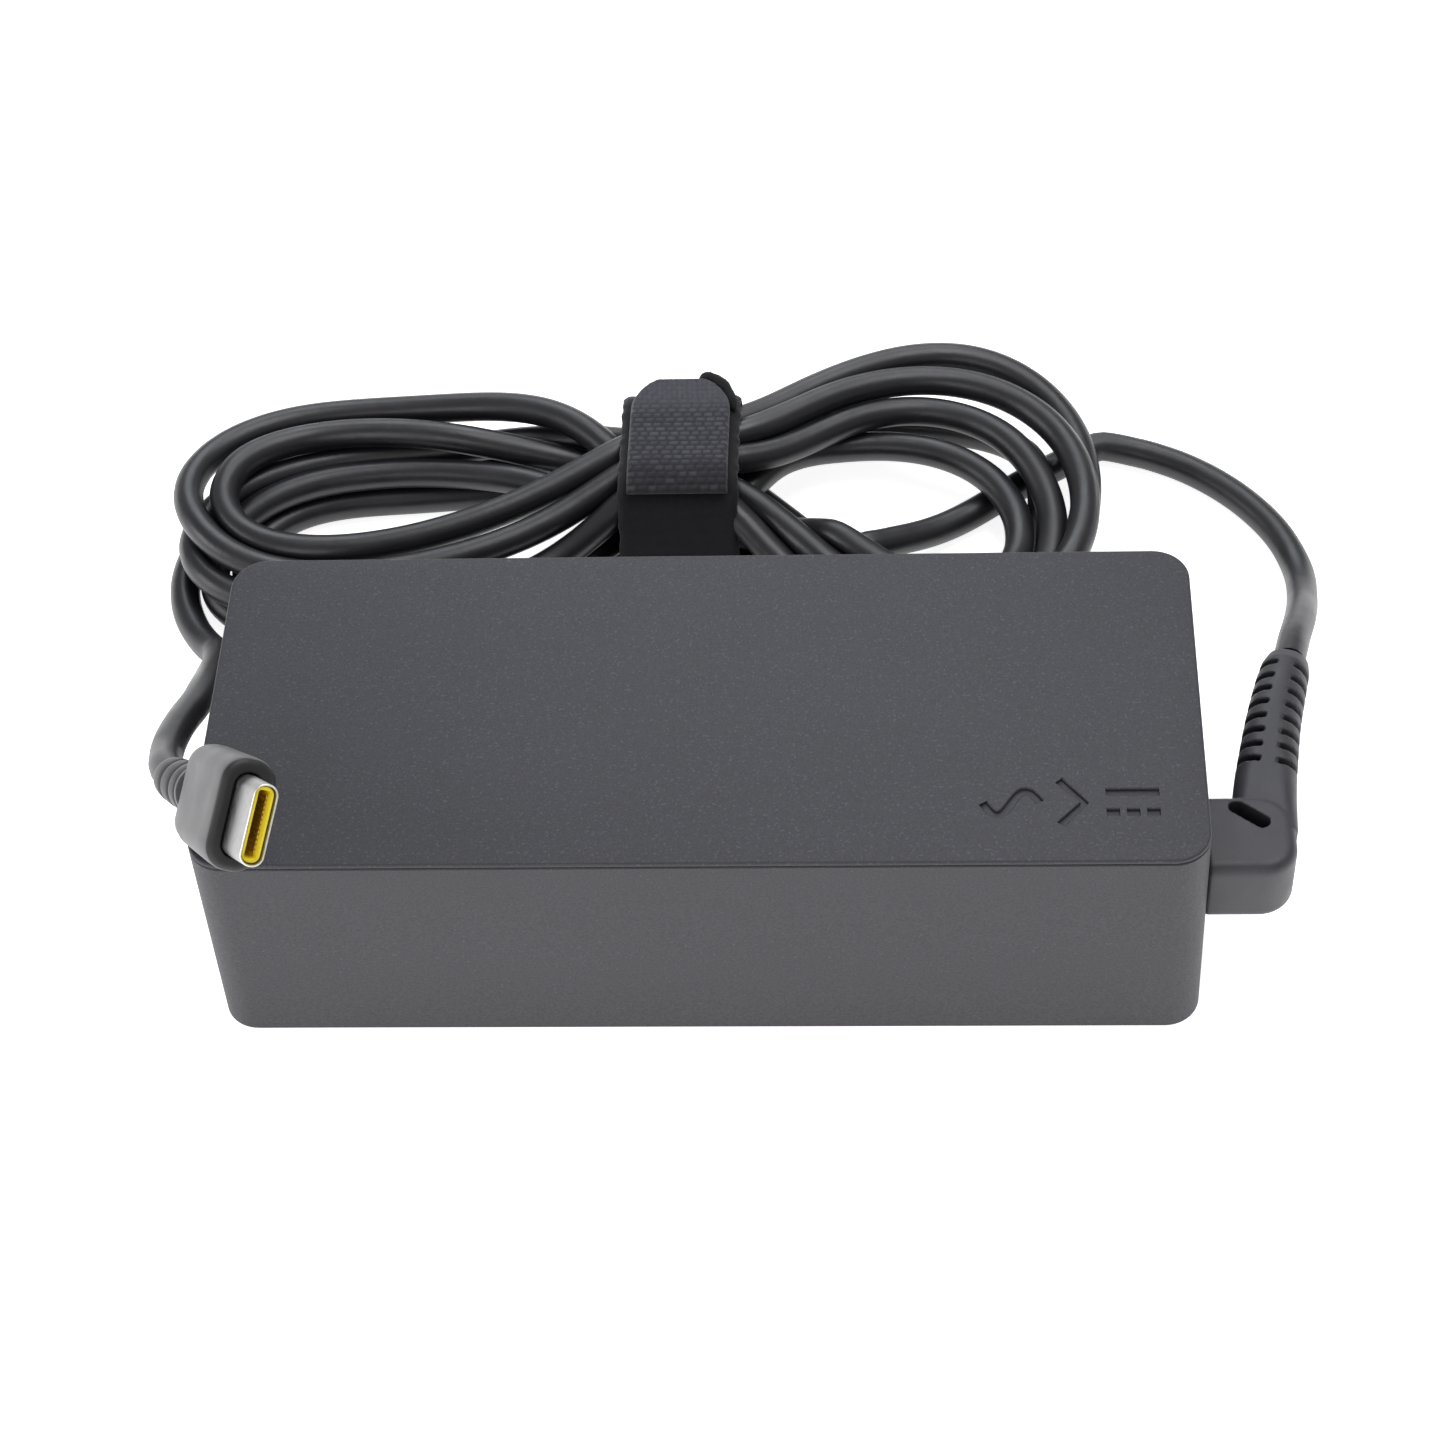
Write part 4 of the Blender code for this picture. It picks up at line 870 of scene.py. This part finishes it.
# The ribbed tail's stations: a place on its line, and its width and height there.
BOOT_LINE = [((60.6, -9.0, 14.9), 7.0, 8.4), ((61.1, -3.0, 14.9), 6.9, 8.1), ((61.9, 2.0, 14.9), 6.6, 7.5),
             ((63.0, 8.0, 14.7), 6.2, 6.8), ((64.3, 13.6, 14.2), 5.9, 6.2), ((65.1, 16.6, 13.8), 5.6, 5.8),
             ((65.6, 18.2, 13.6), 4.8, 4.8)]
TAIL_SQUARENESS = (0.16, 0.24, 0.32, 0.40, 0.44, 0.45, 0.45)  # corner radius over height, for each of them
STUB, STUB_END = (10.4, 8.8), 59.5
ELBOW_X, ELBOW_WIDTH, ELBOW_CORNER, ELBOW_ROUND = 59.15, 9.3, 3.8, 1.3
SLOT_ROOM = ((56.9, -6.3), (60.85, -9.3))  # the two ends of the slot in the elbow's top, in X and Y
SLOT_WIDTH, SLOT_CORNER, SLOT_FLOOR = 1.65, 0.8, 1.6
RIB_Y, RIB_PITCH, RIB_CORE, RIB_SPINE, RIB_HALF, RIB_REACH = 0.2, 2.17, 2.35, 0.85, 0.42, 6.0


def sideways(way):
    """The level direction square to a way, and the one square to both."""
    side = way.cross(Vector((0, 0, 1))).normalized()
    return side, side.cross(way)


def tail_line():
    """The tail's centreline."""
    return [Vector(place) for place in smooth_route([place for place, _, _ in BOOT_LINE], 0.5)]


def tail_rings():
    """Fine rounded loops square to the boot's line, between the stations of BOOT_LINE."""
    line = tail_line()
    ys, widths, heights = ([s[0][1] for s in BOOT_LINE], [s[1] for s in BOOT_LINE], [s[2] for s in BOOT_LINE])
    rings = []
    for i, place in enumerate(line):
        way = (line[min(i + 1, len(line) - 1)] - line[max(i - 1, 0)]).normalized()
        side, up = sideways(way)
        width, height, square = (float(np.interp(place.y, ys, values))
                                 for values in (widths, heights, TAIL_SQUARENESS))
        rings.append([place - side * x + up * z for x, z in rounded(width, height, square * height, 8)])
    return rings


def rib_slots():
    """The slots across both flanks of the boot's tail, round its core, as one cutter."""
    line = tail_line()
    ys = [place.y for place in line]
    first = math.asin(RIB_SPINE / RIB_CORE)
    arc = [first + (math.pi - 2 * first) * i / 12 for i in range(13)]
    section = [(RIB_SPINE, RIB_REACH)] + [(RIB_CORE * math.sin(t), RIB_CORE * math.cos(t)) for t in arc]
    section += [(RIB_SPINE, -RIB_REACH), (RIB_REACH, -RIB_REACH), (RIB_REACH, RIB_REACH)]
    points, faces, count = [], [], len(section)
    for i in range(BOOT_RIBS):
        at = float(np.interp(RIB_Y + RIB_PITCH * i, ys, range(len(ys))))
        place = line[int(at)].lerp(line[int(at) + 1], at % 1)
        side, up = sideways((line[int(at) + 1] - line[int(at)]).normalized())
        way = up.cross(side)
        for flank in (-1, 1):
            base = len(points)
            for along in (-RIB_HALF, RIB_HALF):
                points += [place + way * along + side * flank * x + up * z for x, z in section]
            faces.append(tuple(range(base, base + count)))
            faces.append(tuple(range(base + count, base + 2 * count)))
            for j in range(count):
                k = (j + 1) % count
                faces.append((base + j, base + k, base + count + k, base + count + j))
    return place_mesh("rib_slots", points, faces, None)


def make_boot(mat):
    """The flanged neck, the stub, the elbow with its slot, and the ribbed tail."""
    neck, stub, flange = rounded(*BOOT_NECK, 2.3), rounded(*STUB, 1.3), rounded(*BOOT_FLANGE, 2.4)
    inner, outer = LENGTH / 2 - WALL - DRAFT - GAP, LENGTH / 2 - DRAFT / 2 + GAP
    small = rounded(STUB[0] - 0.6, STUB[1] - 0.6, 1.1)
    sections = [(inner - 1.4, flange), (inner, flange), (inner, neck), (outer, neck), (outer, small),
                (outer + 0.3, stub), (STUB_END, stub)]
    boot = stack("boot", sections, along_x(BOOT_Y, BOOT_Z), mat)
    top_edge = round_over(STUB[1] / 2, ELBOW_ROUND)
    edge = [(round(-z, 3), inset) for z, inset in top_edge[::-1]] + top_edge
    elbow = [(BOOT_Z + z, rounded(ELBOW_WIDTH - 2 * inset, STUB[0] - 2 * inset, ELBOW_CORNER - inset))
             for z, inset in edge]
    cut(boot, stack("elbow", elbow, along_z(ELBOW_X, BOOT_Y), None), "UNION")
    cut(boot, loft("tail", tail_rings(), None), "UNION")
    cut(boot, rib_slots())
    near, far = (Vector((*spot, 0)) for spot in SLOT_ROOM)
    middle, way = (near + far) / 2, far - near
    turn = Matrix.Rotation(math.atan2(way.y, way.x), 2)
    outline = [tuple(turn @ Vector(pair) + middle.xy) for pair in rounded(way.length, SLOT_WIDTH, SLOT_CORNER)]
    cut(boot, stack("top_slot", [(BOOT_Z + SLOT_FLOOR, outline), (BOOT_Z + 6.0, outline)], along_z(0, 0), None))
    remesh = boot.modifiers.new("even", "REMESH")
    remesh.mode, remesh.voxel_size, remesh.use_smooth_shade = "VOXEL", BOOT_VOXEL * MM, True
    smooth = boot.modifiers.new("soften", "SMOOTH")
    smooth.factor, smooth.iterations = 0.5, 4
    bake(boot, 80)
    return stand_for(boot, "adapter", "cord_boot")


# -------------------- plug

def relief_curve():
    """The bent line of the strain relief, as the four points of a Bezier curve."""
    start = plug_place(SHELL_OUT + OVERMOULD_LENGTH + GAP, 0, 0)
    return start, start - PLUG_AXIS * 1.6, RELIEF_END - RELIEF_EXIT * 2.2, RELIEF_END


def relief_point(share):
    """A point on that curve."""
    a, b, c, d = relief_curve()
    rest = 1 - share
    return a * rest ** 3 + b * 3 * rest ** 2 * share + c * 3 * rest * share ** 2 + d * share ** 3


def relief_way(share):
    """The curve's direction there."""
    a, b, c, d = relief_curve()
    rest = 1 - share
    return ((b - a) * rest ** 2 + (c - b) * 2 * rest * share + (d - c) * share ** 2).normalized()


def paint_mouth_faces(obj, mat, least):
    """Gives another material to the faces that look out of the plug's mouth, by the least cosine: painted shade
    on the moulding's face, a painted highlight on the shell's rim.
    """
    obj.data.materials.append(mat)
    for polygon in obj.data.polygons:
        polygon.material_index = int(polygon.normal.dot(PLUG_AXIS) > least)


def shell_rings(outline):
    """The steel shell's loops, from pairs of a distance behind the rim and an inset."""
    return [ring_of(back, rounded(SHELL[0] - 2 * inset, SHELL[1] - 2 * inset, 1.2 - inset), plug_place)
            for back, inset in outline]


def relief_profile():
    """The strain relief's radius at shares of its length, with three grooves."""
    profile = [(0.0, 2.3), (0.015, 2.65), (0.05, 2.8)]
    groove = ((0.0, 0.0), (0.012, 0.04), (0.02, 0.15), (0.028, 0.42), (0.05, 0.5), (0.072, 0.42), (0.08, 0.18),
              (0.088, 0.08), (0.1, 0.05))
    for i in range(3):
        profile += [(0.20 + 0.24 * i + share, 2.78 - 0.15 * i - depth) for share, depth in groove]
    return profile + [(0.93, 2.3), (0.975, 2.22), (1.0, 2.0)]


def make_plug(mats):
    """The plug's moulding, steel shell, yellow insert and strain relief."""
    front, rear = SHELL_OUT, SHELL_OUT + OVERMOULD_LENGTH
    stations = [(front, 0.85, 0.0), (front + 0.04, 0.55, 0.0), (front + 0.17, 0.28, 0.0),
                (front + 0.45, 0.08, 0.0), (front + 0.9, 0.0, 0.0), (front + 3.0, 0.0, 0.0),
                (rear - 3.0, 0.12, 0.2), (rear - 1.2, 0.3, 0.28), (rear - 0.5, 0.6, 0.35),
                (rear - 0.12, 0.95, 0.42), (rear, 1.35, 0.5)]
    sections = [(back, rounded(OVERMOULD[0] - 2 * (inset + less), OVERMOULD[1] - 2 * inset, 2.6 - inset, 14))
                for back, inset, less in stations]
    body = stack("plug_body", sections, plug_place, mats["body"])
    pocket, flare = rounded(SHELL[0] + 0.3, SHELL[1] + 0.3, 1.35), rounded(SHELL[0] + 0.6, SHELL[1] + 0.6, 1.5)
    cutter = [(front - 2.0, flare), (front, flare), (front + 0.15, pocket), (front + 8.0, pocket)]
    cut(body, stack("pocket", cutter, plug_place, None))
    # painted shade: the moulding's faces round the mouth get a near-black material
    paint_mouth_faces(body, mats["face"], 0.35)
    stand_for(body, "adapter", "plug_overmould")

    wall, held = SHELL_WALL, SHELL_OUT + SHELL_HELD
    outer = shell_rings([(held, 0.0), (0.25, 0.0), (0.08, 0.03), (0.0, 0.09)])
    inner = shell_rings([(held, wall), (0.25, wall), (0.08, wall - 0.03), (0.0, wall - 0.09)])
    shell = sleeve("plug_sleeve", outer, inner, mats["steel"], 50)
    # painted highlight: the shell's rim gets a much paler metal than its sides
    paint_mouth_faces(shell, mats["rim"], 0.25)
    stand_for(shell, "adapter", "plug_shell")

    outline = rounded(SHELL[0] - 0.64, SHELL[1] - 0.64, 0.88)
    soft = rounded(SHELL[0] - 0.76, SHELL[1] - 0.76, 0.82)
    insert = stack("plug_tongue_holder", [(0.5, soft), (0.6, outline), (SHELL_OUT + 3.2, outline)], plug_place,
                   mats["insert"])
    room, flare = rounded(6.9, 1.24, 0.3, 6), rounded(7.1, 1.44, 0.4, 6)
    cut(insert, stack("slot", [(-0.5, flare), (0.5, flare), (0.68, room), (5.6, room)], plug_place, None))
    stand_for(insert, "adapter", "plug_insert")

    rings = []
    for share, radius in relief_profile():
        way = relief_way(share)
        side = way.cross(PLUG_WIDE).normalized()
        up = way.cross(side)
        rings.append([relief_point(share) + side * x + up * y for x, y in circle(radius, 48)])
    relief = loft("plug_relief", rings, mats["relief"], 50)
    stand_for(relief, "adapter", "plug_strain_relief")
    return [body, relief]


# -------------------- the whole

make_camera()
make_studio()
CORD, CORD_LENGTH = make_cord(cord_skin())
PLUG_PIECES = make_plug({
    "body": soft_plastic("plug_plastic", (0.078, 0.077, 0.081), 0.5, 0.3, 1.35),
    # painted shade: the moulding's mouth face, near-black
    "face": soft_plastic("plug_face_shade", (0.010, 0.0098, 0.0105), 0.5, 0.3, 1.2),
    "relief": soft_plastic("relief_plastic", (0.075, 0.074, 0.078), 0.5, 0.3, 1.3),
    "steel": metal("plug_steel", (0.34, 0.335, 0.34), 0.36, (1, 1, 1), 0.6),
    # painted highlight: the rim's pale metal
    "rim": metal("plug_rim_highlight", (0.92, 0.90, 0.84), 0.45, (1, 1, 1), 0.6),
    "insert": soft_plastic("insert_yellow", (0.86, 0.70, 0.035), 0.45, 0.2, 1.1),
})
make_strap(textile("strap_loop", (0.008, 0.008, 0.010), (0.045, 0.046, 0.055)),
           textile("strap_flap", (0.013, 0.013, 0.015), (0.076, 0.076, 0.094)))
make_housing({
    "top": spark_plastic("case_top", (0.038, 0.038, 0.0465), 0.22, 0.52, 0.68),
    "side": spark_plastic("case_side", (0.0425, 0.0408, 0.0478), 0.26, 0.55, 0.74),
    "label": soft_plastic("label_film", (0.05, 0.05, 0.055), 0.3, 0.5),
})
make_inlet({
    "inlet": soft_plastic("inlet_black", (0.012, 0.012, 0.013), 0.5),
    "brass": metal("pin_brass", (0.62, 0.58, 0.50), 0.3, (0.15, 1, 1)),
})
make_boot(soft_plastic("boot_rubber", (0.033, 0.0325, 0.040), 0.5, 0.3, 1.3))

FINISHES = {}
for name, node in frame["nodes"].items():
    slot_name = SLOT_OF[name]
    if slot_name not in FINISHES:
        FINISHES[slot_name] = sealed_finish(slot_name)
    node.data.materials.clear()
    node.data.materials.append(FINISHES[slot_name])
